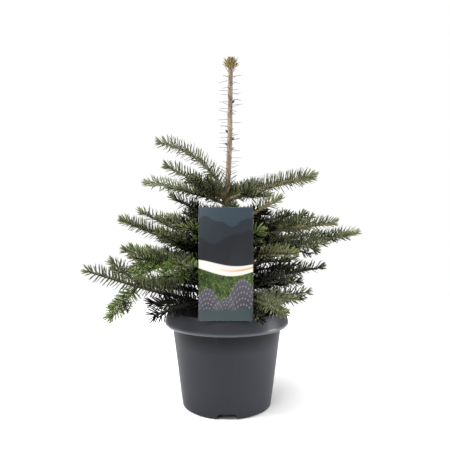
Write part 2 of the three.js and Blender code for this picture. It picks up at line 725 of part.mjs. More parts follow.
function tuftSolid() {
  const { foot, heartZ, bud, sideBuds, needles } = TUFT;
  const seat = new THREE.Vector3(trunkX(TRUNK.topZ), 0, TRUNK.topZ + CLEARANCE);
  const wide = TRUNK.radius.tip;
  const stub = new THREE.CylinderGeometry(wide * foot.taper, wide, foot.height, foot.sides);
  stub.rotateX(Math.PI / 2);
  stub.translate(seat.x, seat.y, seat.z + foot.height / 2);
  const heart = seat.clone().addScaledVector(UP, heartZ);
  const pieces = [solidFrom(stub), budSolid(heart, UP, bud.length, bud.radius)];
  for (let i = 0; i < sideBuds.count; i += 1) {
    const along = direction((i / sideBuds.count) * 360 + sideBuds.turn, sideBuds.rise);
    pieces.push(budSolid(heart, along, sideBuds.length, sideBuds.radius));
  }
  for (let i = 0; i < needles.count; i += 1) {
    const along = direction(i * GOLDEN_ANGLE, needles.lowest + needles.step * (i % needles.steps));
    const root = heart.clone().addScaledVector(along, BUD_SUNK);
    pieces.push(needleSolid(root, along, UP, needles.length));
  }
  return joined(pieces);
}

// ---------------------------------------------------------------- assembly

const plant = new THREE.Group();

function addPart(name, look, solid) {
  const { color, roughness } = COLOURS[look];
  const material = new THREE.MeshStandardMaterial({ color, roughness, metalness: 0 });
  const mesh = new THREE.Mesh(geometryFrom(solid), material);
  mesh.name = name;
  plant.add(mesh);
}

addPart('pot', 'pot', makePot());
addPart('soil', 'soil', makeSoil());
addPart('plant_label', 'plant_label', makeLabel());
addPart('trunk', 'trunk', trunkSolid(0).trimByPlane([0, 0, -1], -TRUNK.leaderZ));
addPart('foliage_leader', 'trunk', leaderSolid());
addPart('leader_tuft', 'leader_tuft', tuftSolid());

const limbs = Object.entries(WHORLS).flatMap(([whorl, rows]) => (
  rows.map((row, i) => mainLimb(row, `${whorl}_${i + 1}`))
));
for (const { axis, boughShare, name } of limbs) {
  if (boughShare) {
    claims.push(...stretchesOf(axis, 0, boughShare, `bough_${name}`));
  }
  claims.push(...stretchesOf(axis, boughShare, 1, name));
}
limbs.forEach(growTwigs);

const trunkCutter = trunkSolid(CLEARANCE);
for (const limb of limbs) {
  if (limb.boughShare) {
    addPart(`bough_${limb.name}`, 'bough', boughSolid(limb, trunkCutter));
  }
  addPart(`foliage_${limb.name}`, 'foliage', foliageSolid(limb, trunkCutter));
}

export default plant;
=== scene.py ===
"""A young Korean fir in its nursery pot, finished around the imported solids.

Metres, +Z up, the label in front at -Y. The limbs are grown again by the rule of the solids, and
carried on to fine twigs, needles and buds. Each piece, and the studio, is made by an operator.
"""

import functools
import math
from collections import namedtuple
from contextlib import contextmanager

import bmesh
import bpy
import numpy as np
from bpy.props import FloatProperty, FloatVectorProperty, IntProperty, PointerProperty
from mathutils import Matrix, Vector, noise


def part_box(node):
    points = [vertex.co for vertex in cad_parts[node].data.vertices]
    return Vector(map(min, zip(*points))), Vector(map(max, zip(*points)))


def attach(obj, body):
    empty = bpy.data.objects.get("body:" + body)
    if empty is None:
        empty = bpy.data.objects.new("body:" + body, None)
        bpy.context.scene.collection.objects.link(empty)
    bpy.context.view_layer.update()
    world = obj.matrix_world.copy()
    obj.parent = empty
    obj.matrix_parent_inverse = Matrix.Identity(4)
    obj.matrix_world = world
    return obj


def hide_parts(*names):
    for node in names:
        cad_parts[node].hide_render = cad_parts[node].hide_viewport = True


bl_info = {
    "name": "Potted Korean fir",
    "version": (1, 0, 0),
    "blender": (4, 5, 0),
    "location": "View3D > Sidebar > Fir",
    "description": "Builds the pot, peat, label, trunk, limbs and needles of a young fir",
    "category": "Add Mesh",
}

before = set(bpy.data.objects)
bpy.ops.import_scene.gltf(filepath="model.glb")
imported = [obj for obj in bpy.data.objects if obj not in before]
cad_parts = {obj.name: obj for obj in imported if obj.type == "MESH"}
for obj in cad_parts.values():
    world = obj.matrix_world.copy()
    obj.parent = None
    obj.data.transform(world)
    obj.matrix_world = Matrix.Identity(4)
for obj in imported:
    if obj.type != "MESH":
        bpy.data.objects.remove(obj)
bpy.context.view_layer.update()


def linear(code):
    """The scene's linear colour for a hexadecimal screen colour."""
    values = [int(code[i : i + 2], 16) / 255 for i in (0, 2, 4)]
    return tuple(v / 12.92 if v <= 0.04045 else ((v + 0.055) / 1.055) ** 2.4 for v in values)


# ---------------------------------------------------------------- sizes and colours


def length_of(name, default, description):
    return FloatProperty(name=name, default=default, description=description, unit="LENGTH", min=0)


def colour_of(name, code, description):
    return FloatVectorProperty(
        name=name, default=linear(code), description=description, subtype="COLOR", size=3, min=0, max=1
    )


class PotSizes(bpy.types.PropertyGroup):
    """Sizes of the nursery pot and the peat in it."""

    height: length_of("Height", 0.146, "From the ground to the top of the rim")
    rim_radius: length_of("Rim radius", 0.095, "At the rim's lower lip")
    rim_top_radius: length_of("Rim top radius", 0.0896, "At the rim's upper edge")
    foot_radius: length_of("Foot radius", 0.0684, "Outer wall just above the foot")
    wall: length_of("Wall", 0.0018, "Thickness of the moulded wall")
    steps: IntProperty(name="Steps", default=144, description="Faces round the pot", min=24)
    crumbs: IntProperty(name="Crumbs", default=2600, description="Loose crumbs on the peat", min=0)


class LabelSizes(bpy.types.PropertyGroup):
    """Sizes of the plant label and its clip."""

    width: length_of("Width", 0.0737, "Across the card")
    height: length_of("Height", 0.1541, "Up the card")
    thickness: length_of("Thickness", 0.0008, "Of card and clip")
    corner: length_of("Corner", 0.0025, "Radius of the card's corners")
    clip_width: length_of("Clip width", 0.024, "Of the strip over the rim")


class FoliageSizes(bpy.types.PropertyGroup):
    """Sizes of needles, and how close they stand."""

    needle_length: length_of("Needle length", 0.0176, "Of a full-grown needle")
    needle_width: length_of("Needle width", 0.0018, "Across the flat of a needle")
    needle_thickness: length_of("Needle thickness", 0.0008, "Through a needle's middle")
    needle_gap: length_of("Needle gap", 0.00074, "Along the twig, from one needle to the next")
    bud_length: length_of("Bud length", 0.0048, "Of the bud at the end of a twig")


class FirColours(bpy.types.PropertyGroup):
    """Colours of the plant, its pot and its label."""

    pot: colour_of("Pot", "2d2e33", "Moulded plastic")
    peat: colour_of("Peat", "2b211a", "Peat and fine bark")
    leader: colour_of("Leader bark", "82715f", "Bark of the last year's leader")
    trunk: colour_of("Trunk bark", "624a33", "Bark of the older trunk")
    bough: colour_of("Bough bark", "4a392c", "Bark of older boughs")
    dark: colour_of("Dark bark", "2a2018", "Bark of fine and shaded twigs")
    twig: colour_of("Twig bark", "81775a", "Bark of young twigs")
    rust: colour_of("Rusty twig bark", "7d6a4c", "Bark of the youngest twigs")
    bud: colour_of("Bud", "8e6236", "Resinous bud scales")
    dark_bud: colour_of("Dark bud", "3f2d24", "Buds along the leader")
    # painted shade: a very dark needle colour standing in for the shade deep inside the crown
    black: colour_of("Black needles", "0c0c08", "Needles deep inside the crown")
    deep: colour_of("Deep needles", "202417", "Old, shaded needles")
    green: colour_of("Green needles", "343c20", "Most needles")
    fresh: colour_of("Fresh needles", "4c6320", "Needles of the brightest sprays")
    lit: colour_of("Sunlit needles", "52642a", "Needles of the spray that stands freest")
    sage: colour_of("Grey-green needles", "555b3e", "Needles of the greyer sprays")
    olive: colour_of("Olive needles", "606237", "Needles at the ends of shoots")
    blue: colour_of("Blue needles", "38483d", "Needles of the bluish sprays")
    pale: colour_of("Pale needles", "5f605c", "Thin needles along the leader")
    under: colour_of("Undersides", "6c7152", "The pale bands under a needle")
    straw: colour_of("Straw needles", "806636", "Young needles round the leader's buds")
    dim: colour_of("Shaded undersides", "363a2b", "Under the old, shaded needles")
    silver: colour_of("Bright undersides", "8f9c73", "Under the sunlit needles")
    ash: colour_of("Grey undersides", "767d62", "Under the grey-green needles")


# The solids' sizes, in metres.
CLEARANCE = 0.0003
GOLDEN_ANGLE = math.radians(137.508)
UP = np.array((0.0, 0.0, 1.0))

FOOT_FLAT, FOOT_INNER, FOOT_FILLET = 0.0654, 0.062, 0.0032
SHOULDER_RADIUS, SHOULDER_Z = 0.0842, 0.124
LIP_Z, GROOVE_Z, SKIRT, BULGE, LIP_ROLL = 0.1223, 0.1425, 0.0016, 0.0014, 0.003
FLOOR_Z, BOSS_RADIUS, BOSS_SLOPE, BOSS_INSIDE, CORNER_INSIDE = 0.0085, 0.016, 0.0012, 0.0155, 0.002
NOTCH_COUNT, NOTCH_WIDTH, NOTCH_TOP_WIDTH, NOTCH_HEIGHT = 4, 0.033, 0.024, 0.0082
DRAIN_COUNT, DRAIN_RADIUS, DRAIN_RING = 4, 0.004, 0.046

PEAT_EDGE_Z, PEAT_CROWN_Z, PEAT_CROWN_RADIUS = 0.1294, 0.132, 0.014
PEAT_SHOULDER_RADIUS, PEAT_SHOULDER_RISE = 0.7, 0.35  # shares of the whole radius and rise

LABEL_LOW, LABEL_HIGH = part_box("plant_label")
LABEL_CENTRE_X = (LABEL_LOW.x + LABEL_HIGH.x) / 2
CLIP_INNER_Y, CLIP_TIP_Z = -0.0818, 0.136

TRUNK_BASE_Z = PEAT_CROWN_Z + CLEARANCE
TRUNK_TOP_Z, WHORL_Z = 0.519, 0.315
BASE_RADIUS, WHORL_RADIUS, LEADER_RADIUS, TRUNK_TIP_RADIUS = 0.0069, 0.005, 0.0041, 0.0035
WHORL_SWELL = 0.012
FLARE_RADIUS, FLARE_HEIGHT, FLARE_LOBES, FLARE_DEPTH = 0.0028, 0.007, 3, 0.16
TRUNK_BENDS = (  # height, X
    (0.132, 0.001), (0.2, -0.001), (0.315, -0.0005), (0.352, 0.0023), (0.411, 0.0048), (0.519, 0.0057),
)
LEADER_NEEDLES = {"pitch": 0.0054, "length": 0.017, "lean": 82, "first": 0.334, "last": 0.512, "sunk": 0.6}
LEADER_NEEDLE_ROOM = 0.0017
LEADER_BUDS = ((0.465, 10), (0.419, 185), (0.407, 340), (0.399, 170), (0.392, 20))  # height, turn

BEYOND_TWIG = 0.009  # how far needles reach past the end of a limb
BARE_AT_TRUNK, BARE_AT_NODE = 0.012, 0.005  # length without needles at a twig's foot
LEAN, TIP_LEAN, TIP_STRETCH = 67, 30, 0.014  # degrees from the twig, and at its end, over this length
NEEDLE_TURN = 135  # degrees round the twig from one needle to the next
ROUND, ROUND_SNAP = 8, 0.45  # needles in a round, and how far they close up round its middle
DARK_WITHIN, DARK_FADE, DARK_TO_Z = 0.05, 0.035, 0.3  # where most needles deep in the crown get painted shade
LIMB_TIP_RADIUS, TWIG_RADIUS = 0.00105, 0.0016
ROOT_RADIUS = {1: 0.0023, 2: 0.0029, 3: 0.0035}  # by age in years
BOUGH_SHARE = {2: 0.24, 3: 0.26}
TWIG_NODES = {
    1: (),
    2: ((0.5, 1), (0.5, -1)),
    3: ((0.36, 1), (0.36, -1), (0.64, 1), (0.64, -1)),
}
TWIG_SPREAD, TWIG_CLOSING, TWIG_SHARE, TWIG_EXTRA, TWIG_VARY = 57, 12, 0.55, 0.02, 6
STRETCH_LENGTH, PROBES, RIM_ROOM = 0.025, 6, 0.0073

# Fine twigs, which the solids leave out: where they leave a bough or a twig, and how long they are.
BOUGH_SHOOTS = ((0.12, 1), (0.14, -1), (0.19, 1), (0.21, -1), (0.26, 1), (0.29, -1))
YOUNG_SHOOTS = ((0.16, 1), (0.22, -1), (0.32, 1), (0.4, -1))
WHIPS = ("top_1", "top_4", "upper_1", "lower_3", "bottom_5", "bottom_6")  # limbs without these shoots
OWN_SHOOTS = {  # more shoots on some limbs: share, hand, droop and length
    "top_4": ((0.2, 1, 30, 0.035), (0.3, -1, 30, 0.03)),
    "middle_2": ((0.42, 1, -35, 0.042), (0.48, -1, -35, 0.04), (0.6, 1, -35, 0.036), (0.66, -1, -35, 0.034)),
    "middle_5": ((0.35, 1, 40, 0.03), (0.4, -1, 40, 0.03), (0.55, 1, 60, 0.025), (0.6, -1, 60, 0.025)),
    "middle_6": ((0.35, 1, 40, 0.03), (0.4, -1, 40, 0.03), (0.55, 1, 60, 0.025), (0.6, -1, 60, 0.025)),
    "lower_2": ((0.5, 1, 70, 0.03), (0.6, -1, 70, 0.026)),
    "lower_4": (
        (0.4, 1, 45, 0.042), (0.45, -1, 45, 0.04), (0.58, 1, -30, 0.044), (0.63, -1, 30, 0.042),
        (0.72, 1, 50, 0.04), (0.76, -1, 45, 0.036), (0.84, 1, -40, 0.03), (0.86, -1, 60, 0.03),
    ),
    "lower_9": ((0.4, 1, 50, 0.034), (0.45, -1, 50, 0.034), (0.6, 1, 60, 0.028), (0.66, -1, 40, 0.026)),
    "lower_10": ((0.45, 1, -40, 0.04), (0.6, -1, 40, 0.034), (0.72, 1, 50, 0.03)),
    "bottom_3": ((0.4, 1, 30, 0.036), (0.45, -1, 30, 0.036), (0.6, 1, 40, 0.03), (0.66, -1, 40, 0.028)),
}
HEART_SHOOTS = {"count": 24, "low": 0.17, "high": 0.3, "length": 0.06, "rise": 14}  # on the trunk
FINE_NODES = ((0.42, 1), (0.5, -1))
FINE_SPREAD, FINE_SHARE, FINE_EXTRA, FINE_RADIUS = 50, 0.3, 0.012, 0.0011
SHORTEST_FORKED = 0.05  # a twig shorter than this has no fine twigs

# Limbs by whorl: height of the root, turn, length to the last needle tips, rise at the root,
# slope at the tip, and what else sets a limb apart.
WHORLS = {
    "top": (
        (0.315, 170, 0.154, 70, 11, {}),
        (0.316, 203, 0.112, 28, 22, {}),
        (0.306, 150, 0.172, 23, 6, {}),
        (0.312, 343, 0.141, 21, 6, {"droop": 30}),
        (0.314, 60, 0.125, 26, 5, {}),
        (0.311, 108, 0.120, 22, 5, {}),
    ),
    "upper": (
        (0.268, 211, 0.108, 32, 22, {}),
        (0.262, 322, 0.113, 33, 22, {}),
        (0.266, 85, 0.135, 25, 8, {"age": 2}),
    ),
    "middle": (
        (0.226, 164, 0.168, 27, 24, {"age": 2, "droop": -40, "nodes": ((0.34, 1),)}),
        (0.251, 349, 0.171, 13, 5, {"age": 2}),
        (0.248, 132, 0.162, 20, 10, {"age": 2}),
        (0.256, 40, 0.158, 19, 8, {"nodes": ((0.47, -1),)}),
        (0.250, 227, 0.092, 20, 6, {}),
        (0.254, 303, 0.096, 13, 2, {}),
        (0.232, 18, 0.165, 14, 6, {"nodes": ((0.45, -1),)}),
    ),
    "lower": (
        (0.208, 187, 0.180, 29, 20, {"age": 3, "nodes": ((0.32, 1), (0.36, -1))}),
        (0.204, 8, 0.228, 25, 5, {"age": 3, "nodes": ((0.36, 1), (0.36, -1), (0.64, 1))}),
        (0.181, 352, 0.155, 12, 11, {"age": 3, "nodes": ((0.36, 1), (0.36, -1), (0.64, -1))}),
        (0.202, 217, 0.166, 12, 8, {"age": 2}),
        (0.192, 98, 0.190, 15, 5, {"age": 3}),
        (0.198, 150, 0.156, 14, 5, {"age": 3}),
        (0.181, 55, 0.188, 17, 9, {"age": 3}),
        (0.226, 318, 0.130, 8, 0, {}),
        (0.214, 229, 0.110, 10, 0, {}),
        (0.189, 197, 0.168, 17, 17, {"nodes": ((0.55, 1),)}),
    ),
    "bottom": (
        (0.146, 203, 0.225, 14, 20, {"age": 3, "sweep": -6, "roll": 46, "droop": 20,
                                    "nodes": ((0.64, 1, 47), (0.68, -1, 74))}),
        (0.155, 228, 0.152, 12, -12, {"age": 2}),
        (0.165, 302, 0.146, 6, -9, {"age": 2, "roll": -8, "droop": 6}),
        (0.1535, 294, 0.112, 6, -14, {}),
        (0.164, 33, 0.150, 9, 10, {"age": 2}),
        (0.153, 16, 0.144, 6, 3, {"age": 2}),
        (0.157, 77, 0.183, 9, 4, {"age": 3}),
        (0.168, 115, 0.193, 7, 4, {"age": 3}),
        (0.160, 152, 0.175, 8, 8, {"age": 3}),
    ),
}

# What sets a spray apart:
#   needles, bark   the colours of its needles and of its twigs
#   fullness, size  how many needles it has, and how long they are, against the usual
#   gather          how far round the twig they stand, from its upper side: 1 is all round
#   cushion         what their feet add to the twig's radius, in metres
#   lean            how far they lean from the twig, in degrees
# A name with a number sets one twig of the spray apart, and "fine" its fine twigs.
Habit = namedtuple(
    "Habit", "needles bark fullness gather cushion lean size",
    defaults=("green", "bough", 1.0, 0.74, 0.00035, LEAN, 1.0),
)
HABITS = {
    "top_1": Habit("green", "twig", 1.1, 0.85, 0.0007, size=1.06),
    "top_2": Habit("green", "twig", 1.25, 0.85),
    "top_3": Habit("sage", "twig", 1.0, 0.8),
    "top_4": Habit("green", "twig", 1.8, 0.76, 0.0017, lean=76, size=1.14),
    "upper_1": Habit("deep", "dark", 1.1),
    "upper_2": Habit("olive", "twig", 1.1, 0.7, 0.0008),
    "middle_1": Habit("green", "bough", 0.95, lean=72),
    "middle_1_1": Habit("green", "dark", 0.65, 1.0),
    "middle_2": Habit("green", "rust", 1.3, 0.7, 0.0006),
    "middle_5": Habit("fresh", "dark", 1.4),
    "middle_6": Habit("fresh", "dark", 1.4),
    "lower_1": Habit("green", "dark", 1.6, lean=72, size=1.05),
    "lower_2": Habit("green", "twig", 1.05, cushion=0.0001),
    "lower_2_fine": Habit("deep", "dark", 0.6, 1.0),
    "lower_3": Habit("deep", "dark", 0.6, size=0.9),
    "lower_4": Habit("green", "dark", 1.3),
    "lower_4_fine": Habit("fresh", "dark", 1.1),
    "lower_7": Habit("deep", "dark", 0.7),
    "lower_8": Habit("olive", "dark", 1.1),
    "lower_9": Habit("green", "dark", 1.1),
    "lower_9_fine": Habit("fresh", "dark", 1.0),
    "lower_10": Habit("blue", "bough", 1.2),
    "bottom_1": Habit("green", "bough", 1.25, lean=72, size=0.96),
    "bottom_1_2": Habit("lit", "twig", 1.8, 1.0),
    # bottom_2 and bottom_4 take painted shade as the colour of all their needles
    "bottom_2": Habit("black", "dark", 0.95, 1.0, size=1.12),
    "bottom_3": Habit("sage", "twig", 1.2),
    "bottom_3_fine": Habit("green", "twig", 1.0),
    "bottom_4": Habit("black", "dark", 1.2),
    "bottom_5": Habit("deep", "twig", 0.55, 0.9),
    "bottom_6": Habit("deep", "twig", 0.6, 0.9),
    "bottom_7": Habit("deep", "dark", 0.65),
}
USUAL_TONES, USUAL_FULLNESS = ("deep", "green", "green", "blue", "deep"), 0.88


# ---------------------------------------------------------------- growing the tree


STATES = 2 ** 32  # that a source of random numbers can be in
HASH_START, HASH_FACTOR = 2166136261, 16777619  # turn a name into its first state, letter by letter
DRAW_FACTOR, DRAW_STEP = 1664525, 1013904223  # lead from one state to the next


def seeded_random(name):
    """Draws between 0 and 1, always the same for one name."""
    state = HASH_START
    for letter in name:
        state = (state ^ ord(letter)) * HASH_FACTOR % STATES

    def draw():
        nonlocal state
        state = (state * DRAW_FACTOR + DRAW_STEP) % STATES
        return state / STATES

    return draw


def random_arrays(name):
    """A source of whole arrays of random numbers, always the same for one name."""
    return np.random.RandomState(int(seeded_random(name)() * (STATES - 1)))


def lerp(low, high, share):
    return low + (high - low) * share


def unit(vectors):
    return vectors / np.linalg.norm(vectors, axis=-1, keepdims=True)


def direction(turn, rise):
    turn, rise = np.broadcast_arrays(np.radians(turn), np.radians(rise))
    return np.stack((np.cos(rise) * np.cos(turn), np.cos(rise) * np.sin(turn), np.sin(rise)), axis=-1)


def trunk_x(z):
    return np.interp(z, *zip(*TRUNK_BENDS))


def trunk_axis(z):
    """The place on the trunk's axis at a height, or the places at many."""
    return np.stack((trunk_x(z), np.zeros_like(z, dtype=float), z), axis=-1)


def trunk_radius(z):
    z = np.asarray(z, float)
    swell = (WHORL_RADIUS - LEADER_RADIUS) * np.exp((WHORL_Z - z) / WHORL_SWELL)
    share = (z - WHORL_Z) / (TRUNK_TOP_Z - WHORL_Z)
    above = lerp(LEADER_RADIUS, TRUNK_TIP_RADIUS, share) + swell
    taper = lerp(BASE_RADIUS, WHORL_RADIUS, (z - TRUNK_BASE_Z) / (WHORL_Z - TRUNK_BASE_Z))
    below = taper + FLARE_RADIUS * np.exp((TRUNK_BASE_Z - z) / FLARE_HEIGHT)
    return np.where(z > WHORL_Z, above, below)


def pot_inner_radius(z, foot=0.0684, wall=0.0018):
    return lerp(foot, SHOULDER_RADIUS, (z - FOOT_FILLET) / (SHOULDER_Z - FOOT_FILLET)) - wall


Station = namedtuple("Station", "point along side up radius")


class Limb:
    """An arc that leaves its root in one direction and bends evenly to another."""

    def __init__(self, root, start, end, length, thick, thin, roll=0.0):
        self.root, self.start, self.length, self.thick, self.thin = root, start, length, thick, thin
        self.roll = math.radians(roll)
        self.angle = max(math.acos(max(-1.0, min(1.0, float(start @ end)))), 1e-3)
        bend = end - start * (start @ end)
        if bend @ bend < 1e-6:
            bend = UP - start * start[2]
        self.bend = unit(bend)

    def at(self, share):
        """The station, or the arrays of stations, at a share or shares of the limb's length."""
        share = np.asarray(share, float)[..., None]
        turned = self.angle * share
        reach = self.length / self.angle
        point = self.root + self.start * reach * np.sin(turned) + self.bend * reach * (1 - np.cos(turned))
        along = self.start * np.cos(turned) + self.bend * np.sin(turned)
        level = unit(np.cross(along, UP))
        rolled = level * math.cos(self.roll) + np.cross(level, along) * math.sin(self.roll)
        radius = lerp(self.thick, self.thin, share[..., 0])
        return Station(point, along, rolled, np.cross(rolled, along), radius)


Stretch = namedtuple("Stretch", "start end thick thin owner middle reach")


def make_stretch(start, end, thick, thin, owner):
    return Stretch(start, end, thick, thin, owner, (start + end) / 2, np.linalg.norm(end - start) / 2 + thick)


def gap_between(p, q):
    """How far apart two tapering stretches are, surface to surface."""
    d1, d2, between = p.end - p.start, q.end - q.start, p.start - q.start
    a, e, b, c, f = d1 @ d1, d2 @ d2, d1 @ d2, d1 @ between, d2 @ between
    parallel = a * e - b * b
    s = min(max((b * f - c * e) / parallel, 0), 1) if parallel > 1e-15 else 0
    t = (b * s + f) / e
    if t < 0 or t > 1:
        t = min(max(t, 0), 1)
        s = min(max((b * t - c) / a, 0), 1)
    distance = np.linalg.norm(between + d1 * s - d2 * t)
    return distance - lerp(p.thick, p.thin, s) - lerp(q.thick, q.thin, t)


def blocked(points, margin):
    """True for each point that lies in, or too near, the pot, peat, label, clip or trunk."""
    x, y, z = np.moveaxis(points, -1, 0)
    radius = np.hypot(x, y)
    rim_z, rim_radius = 0.146, 0.095
    over_rim = (radius > pot_inner_radius(rim_z) - RIM_ROOM) & (radius < rim_radius + margin)
    ground = (z < np.where(over_rim, rim_z, PEAT_CROWN_Z) + margin) & (radius < rim_radius + margin)
    across = np.abs(x - LABEL_CENTRE_X) < (LABEL_HIGH.x - LABEL_LOW.x) / 2 + margin
    card = across & (z < LABEL_HIGH.z + margin) & (y < LABEL_LOW.y + 0.0008 + margin)
    over_clip = (y < CLIP_INNER_Y + margin) & (np.abs(x) < 0.024) & (z < rim_z + 0.0011 + margin)
    from_trunk = np.hypot(x - trunk_x(z), y)
    wood = (z < TRUNK_TOP_Z) & (from_trunk < trunk_radius(np.minimum(z, TRUNK_TOP_Z)) + margin)
    return ground | card | over_clip | wood


class Room:
    """What limbs already fill, to keep twigs of one spray clear of the others."""

    def __init__(self):
        self.claims = []

    def claim(self, stretches):
        self.claims.extend(stretches)

    def is_free(self, stretch):
        shares = np.linspace(0, 1, PROBES + 1)
        points = lerp(stretch.start, stretch.end, shares[:, None])
        if blocked(points, lerp(stretch.thick, stretch.thin, shares) + CLEARANCE).any():
            return False
        return all(
            claim.owner == stretch.owner
            or np.linalg.norm(claim.middle - stretch.middle) > claim.reach + stretch.reach + CLEARANCE
            or gap_between(claim, stretch) > CLEARANCE
            for claim in self.claims
        )


def stretches_of(limb, first, last, owner):
    """The part of a limb between two shares of its length, as straight stretches."""
    count = max(2, math.ceil(limb.length * (last - first) / STRETCH_LENGTH - 1e-9))
    stations = limb.at(lerp(first, last, np.arange(count + 1) / count))
    ends = list(zip(stations.point, stations.radius))
    return [make_stretch(low, high, thick, thin, owner) for (low, thick), (high, thin) in zip(ends, ends[1:])]


def main_limb(z, turn, length, rise, level, age, sweep, roll):
    start, end = direction(turn, rise), direction(turn + sweep, level)
    return Limb(trunk_axis(z), start, end, length - BEYOND_TWIG, ROOT_RADIUS[age], LIMB_TIP_RADIUS, roll)


def side_twig(parent, share, hand, spread, droop, draw, length, thick=TWIG_RADIUS):
    """A twig that leaves its parent to one side, by the rule of the solids."""
    node = parent.at(share)
    opening = math.radians(spread + TWIG_VARY * (2 * draw() - 1))
    closed = opening - math.radians(TWIG_CLOSING)
    lift = math.radians(TWIG_VARY * (2 * draw() - 1) - droop)
    away = node.side * hand * math.cos(lift) + node.up * math.sin(lift)
    start = node.along * math.cos(opening) + away * math.sin(opening)
    end = node.along * math.cos(closed) + away * math.sin(closed)
    return Limb(node.point, start, end, length, thick, LIMB_TIP_RADIUS)


Spray = namedtuple("Spray", "name whorl axis bough_share twigs fine_twigs")


def leader_claims():
    """The room that needles along the leader take in the solids."""
    rule = LEADER_NEEDLES
    for k in range(math.ceil((rule["last"] - rule["first"]) / rule["pitch"] - 1e-9)):
        z = rule["first"] + k * rule["pitch"]
        along = direction(math.degrees(k * GOLDEN_ANGLE), 90 - rule["lean"])
        root = trunk_axis(z) + along * trunk_radius(z) * rule["sunk"]
        yield make_stretch(root, root + along * rule["length"], LEADER_NEEDLE_ROOM, 0.0002, "trunk")


def try_twig(room, twig, owner, kept, first=0.0):
    """Keeps a twig if there is room for it past its first share, which its parent hides."""
    stretches = stretches_of(twig, first, 1, owner)
    if all(room.is_free(stretch) for stretch in stretches):
        room.claim(stretches)
        kept.append(twig)


def grow_fine_twigs(room, spray, droop, draw):
    """Short shoots on the bough, and fine twigs on the longer twigs, within the spray's reach."""
    nodes = () if spray.name in WHIPS else BOUGH_SHOOTS if spray.bough_share else YOUNG_SHOOTS
    shoots = [
        (share, hand, droop, spray.axis.length * (1 - share) * FINE_SHARE + FINE_EXTRA)
        for share, hand in nodes
    ]
    for share, hand, hang, length in (*shoots, *OWN_SHOOTS.get(spray.name, ())):
        shoot = side_twig(spray.axis, share, hand, FINE_SPREAD, hang, draw, length, FINE_RADIUS)
        try_twig(room, shoot, spray.name, spray.fine_twigs)
    for parent in spray.twigs:
        if parent.length < SHORTEST_FORKED:
            continue
        for share, hand in FINE_NODES:
            length = parent.length * (1 - share) * FINE_SHARE + FINE_EXTRA
            twig = side_twig(parent, share, hand, FINE_SPREAD, 0, draw, length, FINE_RADIUS)
            try_twig(room, twig, spray.name, spray.fine_twigs)


def grow_heart_shoots(room, sprays):
    """Short shoots straight from the trunk, each counted with the spray whose root is nearest."""
    rule, draw = HEART_SHOOTS, seeded_random("heart")
    for i in range(rule["count"]):
        z, turn = lerp(rule["low"], rule["high"], i / rule["count"]), math.degrees(i * GOLDEN_ANGLE)
        length = rule["length"] * (0.75 + 0.5 * draw())
        start, end = direction(turn, rule["rise"]), direction(turn, 0)
        shoot = Limb(trunk_axis(z), start, end, length, FINE_RADIUS, LIMB_TIP_RADIUS)
        spray = min(sprays, key=lambda spray: abs(spray.axis.root[2] - z))
        hidden = (float(trunk_radius(z)) + FINE_RADIUS + 3 * CLEARANCE) / length
        try_twig(room, shoot, spray.name, spray.fine_twigs, hidden)


@functools.cache
def grown_sprays():
    """Every limb with the twigs for which there is room, in the order of the solids."""
    room = Room()
    room.claim(leader_claims())
    sprays, rules = [], []
    for whorl, rows in WHORLS.items():
        for i, (z, turn, length, rise, level, extra) in enumerate(rows, 1):
            name, age = f"{whorl}_{i}", extra.get("age", 1)
            axis = main_limb(z, turn, length, rise, level, age, extra.get("sweep", 0), extra.get("roll", 0))
            share = BOUGH_SHARE.get(age, 0)
            sprays.append(Spray(name, whorl, axis, share, [], []))
            rules.append((extra.get("nodes", TWIG_NODES[age]), extra.get("droop", 0)))
            if share:
                room.claim(stretches_of(axis, 0, share, f"bough_{name}"))
            room.claim(stretches_of(axis, share, 1, name))
    for spray, (nodes, droop) in zip(sprays, rules):
        draw = seeded_random(spray.name)
        for share, hand, *own_spread in nodes:
            length = spray.axis.length * (1 - share) * TWIG_SHARE + TWIG_EXTRA
            spread = own_spread[0] if own_spread else TWIG_SPREAD
            twig = side_twig(spray.axis, share, hand, spread, droop, draw, length)
            try_twig(room, twig, spray.name, spray.twigs)
    for spray, (nodes, droop) in zip(sprays, rules):
        grow_fine_twigs(room, spray, droop, seeded_random(spray.name + "_fine"))
    grow_heart_shoots(room, sprays)
    return sprays


# ---------------------------------------------------------------- finishes


class Value:
    """An output in a finish's node tree. Sums and products of values add Math nodes."""

    def __init__(self, finish, socket):
        self.finish, self.socket = finish, socket

    def math(self, operation, first, second=0.0, clamp=False):
        settings = {"operation": operation, "use_clamp": clamp}
        return self.finish.node("ShaderNodeMath", settings, {0: first, 1: second})

    def __add__(self, other):
        return self.math("ADD", self, other)

    def __sub__(self, other):
        return self.math("SUBTRACT", self, other)

    def __rsub__(self, other):
        return self.math("SUBTRACT", other, self)

    def __mul__(self, other):
        return self.math("MULTIPLY", self, other)

    def __truediv__(self, other):
        return self.math("DIVIDE", self, other)

    def __pow__(self, other):
        return self.math("POWER", self, other)

    __radd__, __rmul__ = __add__, __mul__

    def sine(self):
        return self.math("SINE", self)

    def size(self):
        return self.math("ABSOLUTE", self)

    def clamped(self):
        return self.math("ADD", self, 0.0, clamp=True)

    def past(self, edge, soft):
        """0 below edge and 1 above it, over a soft step."""
        return ((self - edge) / soft + 0.5).clamped()


